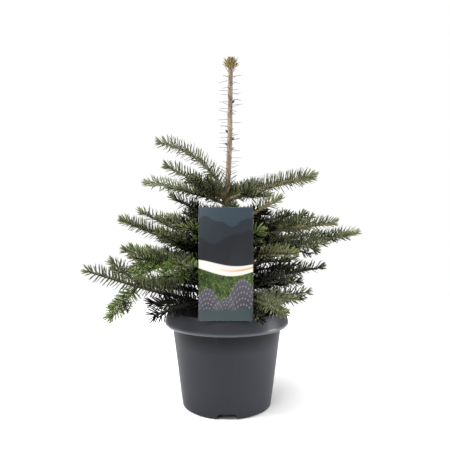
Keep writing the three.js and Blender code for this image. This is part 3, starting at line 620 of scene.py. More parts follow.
class Finish:
    """A material made of nodes round one Principled shader."""

    def __init__(self, name, colour, roughness, **constants):
        self.material = bpy.data.materials.new(name)
        self.material.use_nodes = True
        self.material.diffuse_color = (*colour, 1)
        self.tree = self.material.node_tree
        self.shader = self.tree.nodes["Principled BSDF"]
        self.shader.inputs["Base Color"].default_value = (*colour, 1)
        self.shader.inputs["Roughness"].default_value = roughness
        for words, value in constants.items():
            self.shader.inputs[words.replace("_", " ").title().replace("Ior", "IOR")].default_value = value

    def node(self, kind, settings=None, inputs=None, output=0):
        node = self.tree.nodes.new(kind)
        for key, value in (settings or {}).items():
            setattr(node, key, value)
        for key, value in (inputs or {}).items():
            if isinstance(value, Value):
                self.tree.links.new(value.socket, node.inputs[key])
            else:
                node.inputs[key].default_value = value
        return Value(self, node.outputs[output])

    def feed(self, name, value):
        self.tree.links.new(value.socket, self.shader.inputs[name])

    def place(self):
        return self.node("ShaderNodeTexCoord", output="Object")

    def axes(self):
        """X, Y and Z of the place on the object, in metres."""
        parts = self.tree.nodes.new("ShaderNodeSeparateXYZ")
        self.tree.links.new(self.place().socket, parts.inputs[0])
        return [Value(self, output) for output in parts.outputs]

    def noise(self, size, detail=3.0, stretch=(1, 1, 1), rough=0.5):
        """Cloudy noise between 0 and 1, with spots of about this size in metres."""
        place = self.node("ShaderNodeMapping", None, {"Vector": self.place(), "Scale": stretch})
        inputs = {"Vector": place, "Scale": 1 / size, "Detail": detail, "Roughness": rough}
        return self.node("ShaderNodeTexNoise", None, inputs, "Fac")

    def blend(self, low, high, factor):
        """From one colour to another."""
        low, high = ((*c, 1) if isinstance(c, tuple) else c for c in (low, high))
        settings = {"data_type": "RGBA", "clamp_factor": True}
        return self.node("ShaderNodeMix", settings, {0: factor, 6: low, 7: high}, 2)

    def mottled(self, colour, darkest, brightest, factor):
        """From a darker to a brighter shade of one colour."""
        return self.blend(shade(colour, darkest), shade(colour, brightest), factor)

    def relief(self, height, distance, strength):
        inputs = {"Height": height, "Distance": distance, "Strength": strength}
        self.feed("Normal", self.node("ShaderNodeBump", None, inputs))


def shade(colour, factor):
    return tuple(min(1.0, c * factor) for c in colour)


def pot_finish(colour):
    finish = Finish("pot_plastic", colour, 0.42, specular_ior_level=0.1, coat_roughness=0.25)
    clouds = finish.noise(0.035, 2.0)
    grain = finish.noise(0.0008, 2.0)
    scuffs = finish.noise(0.02, 6.0, (1, 1, 0.12), 0.7).past(0.66, 0.16)
    height = finish.axes()[2]
    # painted shade: the wall just under the rim's lip is darkened to 0.3 of the pot's colour
    painted_shade_under_lip = height.past(LIP_Z - 0.018, 0.02) * (1 - height.past(LIP_Z, 0.0004))
    # painted highlight: the rolled lip is lightened to 1.6 of the pot's colour; its coat is real gloss
    lip = height.past(LIP_Z, 0.0004) * (1 - height.past(LIP_Z + 0.0042, 0.0045))
    tint = finish.mottled(colour, 0.93, 1.08, clouds)
    tint = finish.blend(tint, shade(colour, 0.3), painted_shade_under_lip)
    tint = finish.blend(tint, shade(colour, 1.6), lip)
    finish.feed("Base Color", finish.blend(tint, shade(colour, 1.35), scuffs * 0.35))
    finish.feed("Coat Weight", lip * 0.8)
    finish.feed("Roughness", 0.36 + clouds * 0.1 + scuffs * 0.12 + grain * 0.05)
    finish.relief(grain, 0.00008, 0.5)
    return finish.material


def peat_finish(name, colour, brightest):
    finish = Finish(name, colour, 0.95)
    coarse = finish.noise(0.004, 4.0, rough=0.7)
    fine = finish.noise(0.0009, 3.0)
    finish.feed("Base Color", finish.mottled(colour, 0.45, brightest, coarse.past(0.5, 0.4)))
    finish.feed("Roughness", 0.85 + fine * 0.15)
    finish.relief(coarse + fine * 0.5, 0.0012, 0.9)
    return finish.material


def leader_finish(colours):
    """Trunk bark: grey-brown and rough low down, smooth and pinkish tan on the leader."""
    young, old = tuple(colours.leader), tuple(colours.trunk)
    finish = Finish("trunk_bark", young, 0.75)
    height = finish.axes()[2]
    patches = finish.noise(0.006, 4.0, (1, 1, 0.35), 0.65)
    streaks = finish.noise(0.0011, 3.0, (1, 1, 0.12))
    light = finish.mottled(young, 0.38, 1.35, (patches * 0.75 + streaks * 0.25).past(0.48, 0.28))
    dark = finish.mottled(old, 0.5, 1.25, patches * 0.5 + streaks * 0.5)
    on_leader = height.past(WHORL_Z + 0.014, 0.02)
    finish.feed("Base Color", finish.blend(dark, light, on_leader))
    finish.feed("Roughness", 0.9 - on_leader * 0.15 + streaks * 0.1)
    finish.relief(patches * 0.5 + streaks, 0.0005, 0.7)
    return finish.material


def bark_finish(name, colour):
    finish = Finish(name, colour, 0.8)
    patches = finish.noise(0.005, 4.0, rough=0.65)
    grain = finish.noise(0.0009, 3.0)
    finish.feed("Base Color", finish.mottled(colour, 0.5, 1.3, patches * 0.6 + grain * 0.4))
    finish.feed("Roughness", 0.7 + grain * 0.25)
    finish.relief(grain + patches * 0.5, 0.0003, 0.6)
    return finish.material


def needle_finish(name, colour):
    roughness, gloss = (0.6, 0.08) if name in MATT_TONES else (0.42, 0.28)
    finish = Finish("needle_" + name, colour, roughness, specular_ior_level=gloss)
    clouds = finish.noise(0.018, 2.0)
    finish.feed("Base Color", finish.mottled(colour, 0.78, 1.25, clouds))
    return finish.material


def bud_finish(name, colour):
    finish = Finish(name, colour, 0.35, coat_weight=0.3, coat_roughness=0.3)
    spots = finish.noise(0.0016, 3.0)
    finish.feed("Base Color", finish.mottled(colour, 0.45, 1.3, spots.past(0.5, 0.4)))
    finish.relief(spots, 0.0004, 0.6)
    return finish.material


def label_finish():
    """A print of its own on the card: far hills at dusk over a flowering field."""
    slate, charcoal, ridge = linear("343e46"), linear("26272b"), linear("2c3036")
    white, orange, teal = linear("d2d0ca"), linear("c48f56"), linear("323f41")
    leaf, lime, moss = linear("3b5023"), linear("727f33"), linear("1f2c15")
    bloom, bloom_dark, dash = linear("4f4c56"), linear("27252e"), linear("83817e")

    finish = Finish("label_print", charcoal, 0.32, specular_ior_level=0.2)
    x, _, z = finish.axes()
    across = (x - LABEL_LOW.x) / (LABEL_HIGH.x - LABEL_LOW.x)
    foot_z = 0.1447  # the card's lower edge
    up = (z - foot_z) / (LABEL_HIGH.z - foot_z)
    ripple = finish.noise(0.012, 4.0)

    far = 0.86 + (across * 7.0 + 0.6).sine() * 0.035 + (across * 17.0).sine() * 0.012 + ripple * 0.03
    near = 0.74 + (across * 5.0 + 3.4).sine() * 0.05 + (across * 13.0 + 1.0).sine() * 0.012
    sky = finish.blend(slate, shade(slate, 1.15), up.past(0.9, 0.3))
    hills = finish.blend(ridge, sky, up.past(far, 0.008))
    upper = finish.blend(charcoal, hills, up.past(near, 0.01))

    patches = finish.noise(0.006, 3.0)
    flecks = finish.noise(0.0022, 3.0)
    field = finish.blend(finish.blend(moss, leaf, patches.past(0.5, 0.25)), lime, flecks.past(0.62, 0.12))
    for centre, half, top in ((0.16, 0.3, 0.29), (0.82, 0.36, 0.37), (0.5, 0.24, 0.21)):
        crown = top - ((across - centre) / half) ** 2 * top * 0.8
        depth = (crown - up) / top
        rows = (depth * 44.0).sine() * 0.5 + 0.5
        dots = ((across + depth * 0.21) * 120.0).sine() * 0.5 + 0.5
        mound = finish.blend(bloom, bloom_dark, (depth * 0.9 + rows * 0.25 + flecks * 0.3 - 0.15).clamped())
        mound = finish.blend(mound, dash, rows.past(0.75, 0.3) * dots.past(0.55, 0.5) * 0.8)
        field = finish.blend(field, mound, depth.past(0.0, 0.02))
    lower = finish.blend(teal, field, up.past(0.085 + ripple * 0.04, 0.03))

    band_middle = 0.475 + (across * 3.6 + 2.4).sine() * 0.038
    band_half = 0.034 + (across * 3.0 + 0.3).sine() * 0.012
    from_band = up - band_middle
    streak = 1 - (from_band + 0.006 - across * 0.012).size().past(0.008, 0.008)
    band = finish.blend(white, orange, streak * across.past(0.55, 0.5) * 0.85)
    picture = finish.blend(lower, upper, from_band.past(0.0, 0.002))
    finish.feed("Base Color", finish.blend(band, picture, from_band.size().past(band_half, 0.006)))
    finish.feed("Roughness", 0.28 + finish.noise(0.01, 2.0) * 0.1)
    return finish.material


def card_back_finish():
    finish = Finish("label_back", linear("c9ccc8"), 0.45)
    finish.feed("Base Color", finish.blend(linear("b9bdb9"), linear("d6d8d4"), finish.noise(0.02, 3.0)))
    finish.feed("Roughness", 0.4 + finish.noise(0.004, 2.0) * 0.15)
    return finish.material


# ---------------------------------------------------------------- modelling tools


def deselect():
    bpy.ops.object.select_all(action="DESELECT")


def newest(name):
    """Names the object that an operator has just added."""
    piece = bpy.context.active_object
    piece.name = name
    piece.data.name = name
    return piece


@contextmanager
def editing(piece):
    """Edit mode on one piece, with nothing selected in it."""
    deselect()
    piece.select_set(True)
    bpy.context.view_layer.objects.active = piece
    bpy.ops.object.mode_set(mode="EDIT")
    bpy.ops.mesh.select_mode(type="FACE")
    bpy.ops.mesh.select_all(action="DESELECT")
    try:
        yield
    finally:
        bpy.ops.object.mode_set(mode="OBJECT")


def pick(piece, kind, wanted):
    """Selects the piece's verts, edges or faces whose middle and normal are wanted."""
    mesh = bmesh.from_edit_mesh(piece.data)
    bpy.ops.mesh.select_mode(type={"verts": "VERT", "edges": "EDGE", "faces": "FACE"}[kind])
    bpy.ops.mesh.select_all(action="DESELECT")
    for element in getattr(mesh, kind):
        if kind == "faces":
            place, aim = element.calc_center_median(), element.normal
        elif kind == "edges":
            ends = [v.co for v in element.verts]
            place, aim = (ends[0] + ends[1]) / 2, (ends[1] - ends[0]).normalized()
        else:
            place, aim = element.co, element.normal
        element.select_set(wanted(place, aim))
    bmesh.update_edit_mesh(piece.data)


def modified(piece, kind, **settings):
    """Adds a modifier and applies it."""
    deselect()
    piece.select_set(True)
    bpy.context.view_layer.objects.active = piece
    modifier = piece.modifiers.new(kind.title(), kind)
    for key, value in settings.items():
        setattr(modifier, key, value)
    bpy.ops.object.modifier_apply(modifier=modifier.name)


def mend(piece):
    """Merges doubles and turns all faces outwards."""
    with editing(piece):
        bpy.ops.mesh.select_all(action="SELECT")
        bpy.ops.mesh.remove_doubles(threshold=1e-6)
        bpy.ops.mesh.normals_make_consistent(inside=False)


def settle(piece, angle=35):
    """Puts the piece's place in its mesh, and smooths it up to an angle."""
    deselect()
    piece.select_set(True)
    bpy.context.view_layer.objects.active = piece
    bpy.ops.object.transform_apply(location=True, rotation=True, scale=True)
    bpy.ops.object.shade_smooth_by_angle(angle=math.radians(angle))


def joined(pieces, name):
    deselect()
    for piece in pieces:
        piece.select_set(True)
    bpy.context.view_layer.objects.active = pieces[0]
    if len(pieces) > 1:
        bpy.ops.object.join()
    return newest(name)


def finished(piece, slot, replaced, *materials):
    """Gives a piece its materials and its place on the body, and hides the nodes that it stands for."""
    for material in materials:
        piece.data.materials.append(material)
    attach(piece, "root")
    if replaced:
        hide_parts(*replaced)


def mesh_from(name, vertices, faces, tones=None):
    """A piece from arrays: rows of points, rows of four corners, and each face's material."""
    mesh = bpy.data.meshes.new(name)
    mesh.vertices.add(len(vertices))
    mesh.vertices.foreach_set("co", np.ascontiguousarray(vertices, np.float32).ravel())
    mesh.loops.add(faces.size)
    mesh.loops.foreach_set("vertex_index", np.ascontiguousarray(faces, np.int32).ravel())
    mesh.polygons.add(len(faces))
    mesh.polygons.foreach_set("loop_start", np.arange(len(faces), dtype=np.int32) * faces.shape[1])
    if tones is not None:
        mesh.polygons.foreach_set("material_index", np.ascontiguousarray(tones, np.int32))
    mesh.update(calc_edges=True)
    piece = bpy.data.objects.new(name, mesh)
    bpy.context.scene.collection.objects.link(piece)
    return piece


def gathered(parts):
    """One set of vertices, faces and tones from many, each (vertices, faces, tones)."""
    starts = np.cumsum([0] + [len(vertices) for vertices, _, _ in parts[:-1]])
    vertices = np.concatenate([vertices for vertices, _, _ in parts])
    faces = np.concatenate([faces + start for (_, faces, _), start in zip(parts, starts)])
    return vertices, faces, np.concatenate([tones for _, _, tones in parts])


def ring_faces(rings, sides):
    """Quads between the rings of a tube, which stays open at both ends."""
    ring, side = np.meshgrid(np.arange(rings - 1), np.arange(sides), indexing="ij")
    here, there = ring * sides + side, ring * sides + (side + 1) % sides
    return np.stack((here, there, there + sides, here + sides), axis=-1).reshape(-1, 4)


def end_quads(sides, base, outward):
    """Quads that close an even ring of corners, counted from base."""
    strips = np.array([(i, i + 1, sides - 2 - i, sides - 1 - i) for i in range(sides // 2 - 1)])
    return base + (strips if outward else strips[:, ::-1])


def tube_faces(rings, sides):
    """Quads of a tube with an even number of sides, closed at both ends."""
    return np.concatenate((
        ring_faces(rings, sides)[:, ::-1],
        end_quads(sides, 0, True),
        end_quads(sides, (rings - 1) * sides, False),
    ))


# ---------------------------------------------------------------- pot, peat and label


def rim_profile(sizes, inset, low, high, count):
    """Points up the bulging skirt of the rim."""
    bottom = np.array((sizes.rim_radius - inset, low))
    top = np.array((sizes.rim_top_radius - inset, high))
    middle = (bottom + top) / 2 + np.array((BULGE, 0))
    t = np.linspace(0, 1, count)[:, None]
    return [tuple(p) for p in bottom * (1 - t) ** 2 + middle * 2 * t * (1 - t) + top * t * t]


def lip_roll(sizes):
    """Points round the thick rolled lip under the rim's skirt."""
    middle = np.array((sizes.rim_radius - LIP_ROLL, LIP_Z + LIP_ROLL))
    angles = np.radians((-30, 0, 22, 44, 66))
    return [tuple(middle + LIP_ROLL * np.array((math.sin(a), -math.cos(a)))) for a in angles]


def pot_profile(sizes):
    """Radius and height, from the middle of the underside round the outside and back inside."""
    floor = FLOOR_Z + sizes.wall
    height = sizes.height
    outer = functools.partial(pot_inner_radius, foot=sizes.foot_radius, wall=0)
    inner = functools.partial(pot_inner_radius, foot=sizes.foot_radius, wall=sizes.wall)
    return [
        (BOSS_RADIUS, 0),
        (BOSS_RADIUS + BOSS_SLOPE, FLOOR_Z),
        (FOOT_INNER + sizes.wall, FLOOR_Z),
        (FOOT_INNER, 0),
        (FOOT_FLAT, 0),
        (sizes.foot_radius - 0.0004, 0.0012),
        (sizes.foot_radius, FOOT_FILLET),
        (outer(0.04), 0.04),
        (outer(0.08), 0.08),
        (outer(GROOVE_Z), GROOVE_Z),
        *rim_profile(sizes, SKIRT, LIP_Z + 0.004, GROOVE_Z, 3)[::-1],
        *lip_roll(sizes),
        *rim_profile(sizes, 0, LIP_Z + LIP_ROLL, height - 0.0012, 7),
        (sizes.rim_top_radius - 0.0010, height),
        (inner(height) + 0.0008, height),
        (inner(height - 0.0012), height - 0.0012),
        (inner(0.08), 0.08),
        (inner(floor + CORNER_INSIDE), floor + CORNER_INSIDE),
        (inner(floor) - CORNER_INSIDE, floor),
        (BOSS_RADIUS + BOSS_SLOPE + sizes.wall, floor),
        (BOSS_INSIDE, sizes.wall),
    ]


def spun(name, profile, steps):
    """A round shell: a ring extruded from point to point of its profile, with both poles closed."""
    deselect()
    bpy.ops.mesh.primitive_circle_add(vertices=steps, radius=profile[0][0], fill_type="NOTHING")
    piece = newest(name)
    with editing(piece):
        bpy.ops.mesh.select_mode(type="EDGE")
        bpy.ops.mesh.select_all(action="SELECT")
        bpy.ops.transform.translate(value=(0, 0, profile[0][1]))
        for (radius, z), (next_radius, next_z) in zip(profile, profile[1:]):
            bpy.ops.mesh.extrude_region_move(TRANSFORM_OT_translate={"value": (0, 0, next_z - z)})
            scale = next_radius / radius
            bpy.ops.transform.resize(value=(scale, scale, 1), center_override=(0, 0, next_z))
        for z in (profile[0][1], profile[-1][1]):
            radius = profile[0][0] if z == profile[0][1] else profile[-1][0]
            pick(piece, "verts", lambda place, aim: at_ring(place, radius, z))
            bpy.ops.mesh.edge_face_add()
            bpy.ops.mesh.poke()
    mend(piece)
    return piece


def at_ring(place, radius, z):
    return abs(place.z - z) < 1e-5 and abs(math.hypot(place.x, place.y) - radius) < 1e-5


def notch_cutter(turn, sizes):
    """A block as wide as a foot notch, narrower and rounded at its top, and flared at its foot."""
    deselect()
    middle = (FOOT_INNER + sizes.foot_radius) / 2
    bpy.ops.mesh.primitive_cube_add(size=1, location=(0, -middle, NOTCH_HEIGHT / 2))
    cutter = newest("notch_cutter")
    cutter.scale = (NOTCH_WIDTH, 0.014, NOTCH_HEIGHT)
    bpy.ops.object.transform_apply(location=True, rotation=False, scale=True)
    with editing(cutter):
        pick(cutter, "faces", lambda place, aim: aim.z > 0.9)
        share = NOTCH_TOP_WIDTH / NOTCH_WIDTH
        bpy.ops.transform.resize(value=(share, 1, 1), center_override=(0, -middle, NOTCH_HEIGHT))
        pick(cutter, "edges", lambda place, aim: abs(aim.y) > 0.9 and place.z > NOTCH_HEIGHT * 0.9)
        bpy.ops.mesh.bevel(offset=0.0028, segments=6, affect="EDGES")
        pick(cutter, "faces", lambda place, aim: aim.z < -0.9)
        bpy.ops.mesh.extrude_region_move(TRANSFORM_OT_translate={"value": (0, 0, -0.002)})
        bpy.ops.transform.resize(value=(1.1, 1, 1), center_override=(0, -middle, 0))
    cutter.rotation_euler.z = turn
    settle(cutter)
    return cutter


def drain_cutter(turn):
    deselect()
    place = (DRAIN_RING * math.cos(turn), DRAIN_RING * math.sin(turn), FLOOR_Z)
    bpy.ops.mesh.primitive_cylinder_add(vertices=32, radius=DRAIN_RADIUS, depth=0.008, location=place)
    cutter = newest("drain_cutter")
    settle(cutter)
    return cutter


def rim_oval(sizes):
    """A faint raised oval moulded on the skirt of the rim."""
    deselect()
    bpy.ops.mesh.primitive_torus_add(
        major_segments=96, minor_segments=8, major_radius=1, minor_radius=0.5, abso_major_rad=1
    )
    ring = newest("rim_oval")
    middle_turn, half_turn = math.radians(224), math.radians(23)
    middle_z, half_z, line = 0.1345, 0.0085, 0.00055
    for vertex in ring.data.vertices:
        x, y, z = vertex.co
        angle, out = math.atan2(y, x), math.hypot(x, y) - 1
        turn = middle_turn + math.cos(angle) * (half_turn + out * line * 2 / sizes.rim_radius)
        height = middle_z + math.sin(angle) * (half_z + out * line * 2)
        share = (height - LIP_Z) / (sizes.height - LIP_Z)
        skirt = lerp(sizes.rim_radius, sizes.rim_top_radius, share) + 2 * BULGE * share * (1 - share)
        radius = skirt - 0.0001 + z * 2 * 0.0003
        vertex.co = (radius * math.cos(turn), radius * math.sin(turn), height)
    mend(ring)
    return ring


def make_pot(sizes, material):
    pot = spun("pot_shell", pot_profile(sizes), sizes.steps)
    modified(pot, "BEVEL", width=0.0005, segments=2, limit_method="ANGLE", angle_limit=math.radians(28))
    cutters = [notch_cutter(2 * math.pi * i / NOTCH_COUNT, sizes) for i in range(NOTCH_COUNT)]
    cutters += [drain_cutter(2 * math.pi * (i + 0.5) / DRAIN_COUNT) for i in range(DRAIN_COUNT)]
    cutter = joined(cutters, "pot_cutters")
    modified(pot, "BOOLEAN", operation="DIFFERENCE", object=cutter, solver="EXACT")
    bpy.data.objects.remove(cutter)
    pot = joined([pot, rim_oval(sizes)], "pot_shell")
    settle(pot, 30)
    finished(pot, "pot", ["pot"], material)


def peat_height(radius, edge):
    """The height of the peat's surface, falling off towards the pot's wall."""
    shoulder_z = lerp(PEAT_EDGE_Z, PEAT_CROWN_Z, PEAT_SHOULDER_RISE)
    radii = (0, PEAT_CROWN_RADIUS, edge * PEAT_SHOULDER_RADIUS, edge)
    return np.interp(radius, radii, (PEAT_CROWN_Z, PEAT_CROWN_Z, shoulder_z, PEAT_EDGE_Z))


def make_peat(sizes, material, crumb_material):
    """The body of peat, its surface inset ring by ring and then roughened, with crumbs on it."""
    edge = float(pot_inner_radius(PEAT_EDGE_Z)) - 2 * CLEARANCE
    floor = FLOOR_Z + sizes.wall + CLEARANCE
    foot = float(pot_inner_radius(floor + CORNER_INSIDE)) - 2 * CLEARANCE
    rings = 34
    profile = [(BOSS_INSIDE - 2 * CLEARANCE, sizes.wall + CLEARANCE)]
    profile += [(BOSS_RADIUS + BOSS_SLOPE + sizes.wall, floor), (foot - CORNER_INSIDE, floor)]
    profile += [(foot, floor + CORNER_INSIDE), (edge, PEAT_EDGE_Z)]
    for i in range(1, rings):
        radius = edge * (1 - i / rings)
        profile.append((radius, float(peat_height(radius, edge))))
    peat = spun("peat", profile, 120)
    for vertex in peat.data.vertices:
        radius = math.hypot(vertex.co.x, vertex.co.y)
        if vertex.co.z > PEAT_EDGE_Z + 1e-5 and radius < edge * 0.995:
            lumps = noise.fractal(vertex.co * 160, 0.9, 2.0, 4)
            vertex.co.z += 0.0011 * lumps - 0.0008
    settle(peat, 60)
    finished(peat, "peat", ["soil"], material)

    random = random_arrays("crumbs")
    count = sizes.crumbs
    radius = edge * 0.985 * np.sqrt(random.uniform(0.02, 1, count))
    turn = random.uniform(0, 2 * np.pi, count)
    size = 0.0009 + 0.0016 * random.uniform(0, 1, count) ** 3
    radius = np.minimum(radius, edge - 0.0004 - size)
    middle = np.stack((radius * np.cos(turn), radius * np.sin(turn), peat_height(radius, edge) - 0.0004), -1)
    corners = np.array([(x, y, z) for x in (-1, 1) for y in (-1, 1) for z in (-1, 1)], float)
    stretch = random.uniform(0.35, 1.3, (count, 1, 3)) * np.array((1, 1, 0.6))
    lumps = corners * stretch + random.uniform(-0.35, 0.35, (count, 8, 3))
    spin = random.uniform(0, 2 * np.pi, count)
    cos, sin = np.cos(spin)[:, None], np.sin(spin)[:, None]
    turned = np.stack((lumps[..., 0] * cos - lumps[..., 1] * sin,
                       lumps[..., 0] * sin + lumps[..., 1] * cos, lumps[..., 2]), -1)
    vertices = middle[:, None] + turned * size[:, None, None] * 0.6
    box = np.array(((0, 1, 3, 2), (4, 6, 7, 5), (0, 4, 5, 1), (2, 3, 7, 6), (0, 2, 6, 4), (1, 5, 7, 3)))
    faces = (np.arange(count) * 8)[:, None, None] + box
    crumbs = mesh_from("peat_crumbs", vertices.reshape(-1, 3), faces.reshape(-1, 4))
    settle(crumbs, 30)
    finished(crumbs, "peat", (), crumb_material)


def make_label(sizes, front, back):
    """A card with round corners, and the strip behind it that hooks over the rim."""
    half = sizes.thickness / 2
    front_y, bottom_z = LABEL_LOW.y, LABEL_HIGH.z - sizes.height
    deselect()
    place = (LABEL_CENTRE_X, front_y + half, bottom_z + sizes.height / 2)
    bpy.ops.mesh.primitive_cube_add(size=1, location=place)
    card = newest("plant_label_card")
    card.scale = (sizes.width, sizes.thickness, sizes.height)
    bpy.ops.object.transform_apply(location=True, rotation=False, scale=True)
    with editing(card):
        pick(card, "edges", lambda place, aim: abs(aim.y) > 0.9)
        bpy.ops.mesh.bevel(offset=sizes.corner, segments=6, affect="EDGES")
    modified(card, "BEVEL", width=0.00015, segments=2, limit_method="ANGLE", angle_limit=math.radians(50))

    deselect()
    seat = LABEL_LOW.z  # the hook's tip is the lowest point of card and clip
    rim_z = 0.146 + CLEARANCE
    long = CLIP_INNER_Y - (front_y + half)
    place = (LABEL_CENTRE_X, front_y + half + long / 2, rim_z + half)
    bpy.ops.mesh.primitive_cube_add(size=1, location=place)
    clip = newest("label_clip")
    clip.scale = (sizes.clip_width, long, sizes.thickness)
    bpy.ops.object.transform_apply(location=True, rotation=False, scale=True)
    with editing(clip):
        bpy.ops.mesh.select_all(action="SELECT")
        bend_y = CLIP_INNER_Y - sizes.thickness
        bpy.ops.mesh.bisect(plane_co=(0, bend_y, 0), plane_no=(0, 1, 0))
        pick(clip, "faces", lambda place, aim: aim.z < -0.9 and place.y > bend_y)
        drop = rim_z - max(seat, CLIP_TIP_Z)
        bpy.ops.mesh.extrude_region_move(TRANSFORM_OT_translate={"value": (0, 0, -drop)})
    modified(clip, "BEVEL", width=0.0002, segments=2, limit_method="ANGLE", angle_limit=math.radians(50))
    label = joined([card, clip], "plant_label_card")
    settle(label, 35)
    finished(label, "label_card", ["plant_label"], front, back)
    for face in label.data.polygons:
        face.material_index = 0 if face.normal.y < -0.5 and face.center.y < front_y + half else 1


# ---------------------------------------------------------------- wood


def rolled_tube(name, around, up_the_tube, surface):
    """A grid rolled into a closed tube: surface gives the places for angles and shares."""
    deselect()
    bpy.ops.mesh.primitive_grid_add(x_subdivisions=around, y_subdivisions=up_the_tube, size=2)
    tube = newest(name)
    flat = np.empty(len(tube.data.vertices) * 3)
    tube.data.vertices.foreach_get("co", flat)
    flat = flat.reshape(-1, 3)
    places = surface(flat[:, 0] * np.pi, (flat[:, 1] + 1) / 2)
    tube.data.vertices.foreach_set("co", places.ravel())
    tube.data.update()
    with editing(tube):
        bpy.ops.mesh.select_mode(type="VERT")
        bpy.ops.mesh.select_all(action="SELECT")
        bpy.ops.mesh.remove_doubles(threshold=1e-6)
        bpy.ops.mesh.select_all(action="DESELECT")
        bpy.ops.mesh.select_non_manifold()
        bpy.ops.mesh.edge_face_add()
        bpy.ops.mesh.select_all(action="SELECT")
        bpy.ops.mesh.normals_make_consistent(inside=False)
    return tube


def roughness_at(places, size, octaves=4):
    """Fractal noise between about -1 and 1 at each place."""
    return np.array([noise.fractal(Vector(place) / size, 0.8, 2.0, octaves) for place in places])


def cushions(height, angle, radius, first, last, pitch, size):
    """Low round swellings in a golden spiral, where needles stand or stood on young bark."""
    count = int((last - first) / pitch)
    marks_z = first + pitch * np.arange(count)
    marks_angle = GOLDEN_ANGLE * np.arange(count)
    swelling = np.zeros(len(height))
    for mark_z, mark_angle in zip(marks_z, marks_angle):
        near = np.abs(height - mark_z) < 3 * size
        across = np.angle(np.exp(1j * (angle[near] - mark_angle))) * radius[near]
        square = (across ** 2 + (height[near] - mark_z) ** 2) / size ** 2
        swelling[near] = np.maximum(swelling[near], np.exp(-square))
    return swelling


def trunk_surface(angle, share):
    z = lerp(TRUNK_BASE_Z, TRUNK_TOP_Z, share ** 1.1)
    lobe = FLARE_DEPTH * np.cos(FLARE_LOBES * angle) * np.exp((TRUNK_BASE_Z - z) / FLARE_HEIGHT)
    radius = trunk_radius(z) * (1 + lobe)
    on_leader = np.clip((z - WHORL_Z) / 0.02, 0, 1)
    places = np.stack((np.cos(angle) * radius, np.sin(angle) * radius, z), -1)
    plates = roughness_at(places * (1, 1, 0.5), 0.0045)
    cracks = np.minimum(0, roughness_at(places * (1, 1, 0.25) + 7, 0.0022))
    marks = cushions(z, angle, radius, WHORL_Z + 0.006, TRUNK_TOP_Z - 0.006, 0.0017, 0.0009)
    old_marks = cushions(z, angle, radius, TRUNK_BASE_Z + 0.02, WHORL_Z, 0.0035, 0.0014)
    swelling = sum(0.0007 * np.exp(-((z - node) / 0.005) ** 2) for node in (0.2, 0.25, 0.312))
    radius = radius + swelling + lerp(0.00045, 0.00012, on_leader) * plates
    radius = radius + lerp(0.0006, 0.0001, on_leader) * cracks
    radius = radius + 0.00038 * marks * on_leader + 0.0003 * old_marks * (1 - on_leader)
    radius = radius * np.clip((TRUNK_TOP_Z - z) / 0.0008, 0.7, 1)
    return np.stack((trunk_x(z) + radius * np.cos(angle), radius * np.sin(angle), z), -1)


def make_trunk(material):
    trunk = rolled_tube("trunk_bark", 48, 420, trunk_surface)
    settle(trunk, 60)
    finished(trunk, "bark", ["trunk", "foliage_leader"], material)


def bough_surface(spray, overlap):
    """The bark of a bough, from inside the trunk to just inside its first needled part."""
    axis = spray.axis
    last = min(1, spray.bough_share + overlap / axis.length)

    def surface(angle, share):
        station = axis.at(share * last)
        along = share * last * axis.length
        collar = 0.0012 * np.exp(-((along - 0.006) / 0.004) ** 2)
        plates = roughness_at(station.point, 0.0032)
        ringed = 0.0004 * np.exp(-(((share * last) - spray.bough_share) * axis.length / 0.0015) ** 2)
        marks = cushions(along, angle, station.radius, 0.004, axis.length, 0.0016, 0.0008)
        radius = station.radius + collar + ringed + 0.0003 * plates + 0.00028 * marks
        across = station.side * np.sin(angle)[:, None] + station.up * np.cos(angle)[:, None]
        return station.point + across * radius[:, None]

    return surface


def make_boughs(whorl, material):
    sprays = [spray for spray in grown_sprays() if spray.whorl == whorl and spray.bough_share]
    if not sprays:
        return
    boughs = []
    for spray in sprays:
        rings = int(spray.axis.length * spray.bough_share / 0.0008)
        boughs.append(rolled_tube(f"bough_{spray.name}", 20, rings, bough_surface(spray, 0.002)))
    piece = joined(boughs, f"boughs_{whorl}")
    settle(piece, 60)
    finished(piece, "bark", [f"bough_{spray.name}" for spray in sprays], material)


def twig_mesh(twig, first, sides, tone, seed, cushion=0.0):
    """A tapering tube with an uneven surface, closed at both ends."""
    ring_step = 0.0025
    rings = max(4, int(twig.length * (1 - first) / ring_step))
    station = twig.at(lerp(first, 1, np.linspace(0, 1, rings)))
    angle = np.arange(sides) * 2 * np.pi / sides
    bumps = 1 + 0.1 * random_arrays(seed).uniform(-1, 1, (rings, sides))
    radius = ((station.radius + cushion)[:, None] * bumps)[..., None]
    across = station.side[:, None] * np.sin(angle)[:, None] + station.up[:, None] * np.cos(angle)[:, None]
    places = station.point[:, None] + across * radius
    faces = tube_faces(rings, sides)
    return places.reshape(-1, 3), faces, np.full(len(faces), tone)


def needled_twigs(spray):
    """Each needle-bearing twig of a spray: the limb, the share where it starts, and how fine it is."""
    yield spray.axis, spray.bough_share, 0
    for twig in spray.twigs:
        yield twig, 0.0, 1
    for twig in spray.fine_twigs:
        yield twig, 0.0, 2


TWIG_BARKS = ("twig", "rust", "bough", "dark")


def habit_of(spray, i, level):
    """The habit of a spray's twig, counted from its axis."""
    kind = "fine" if level == 2 else "main"
    for name in (f"{spray.name}_{i}", f"{spray.name}_{kind}", spray.name):
        if name in HABITS:
            return HABITS[name]
    draw = seeded_random(spray.name + "_tone")
    tone, bark = (names[int(draw() * len(names))] for names in (USUAL_TONES, TWIG_BARKS))
    return Habit(tone, bark, USUAL_FULLNESS)


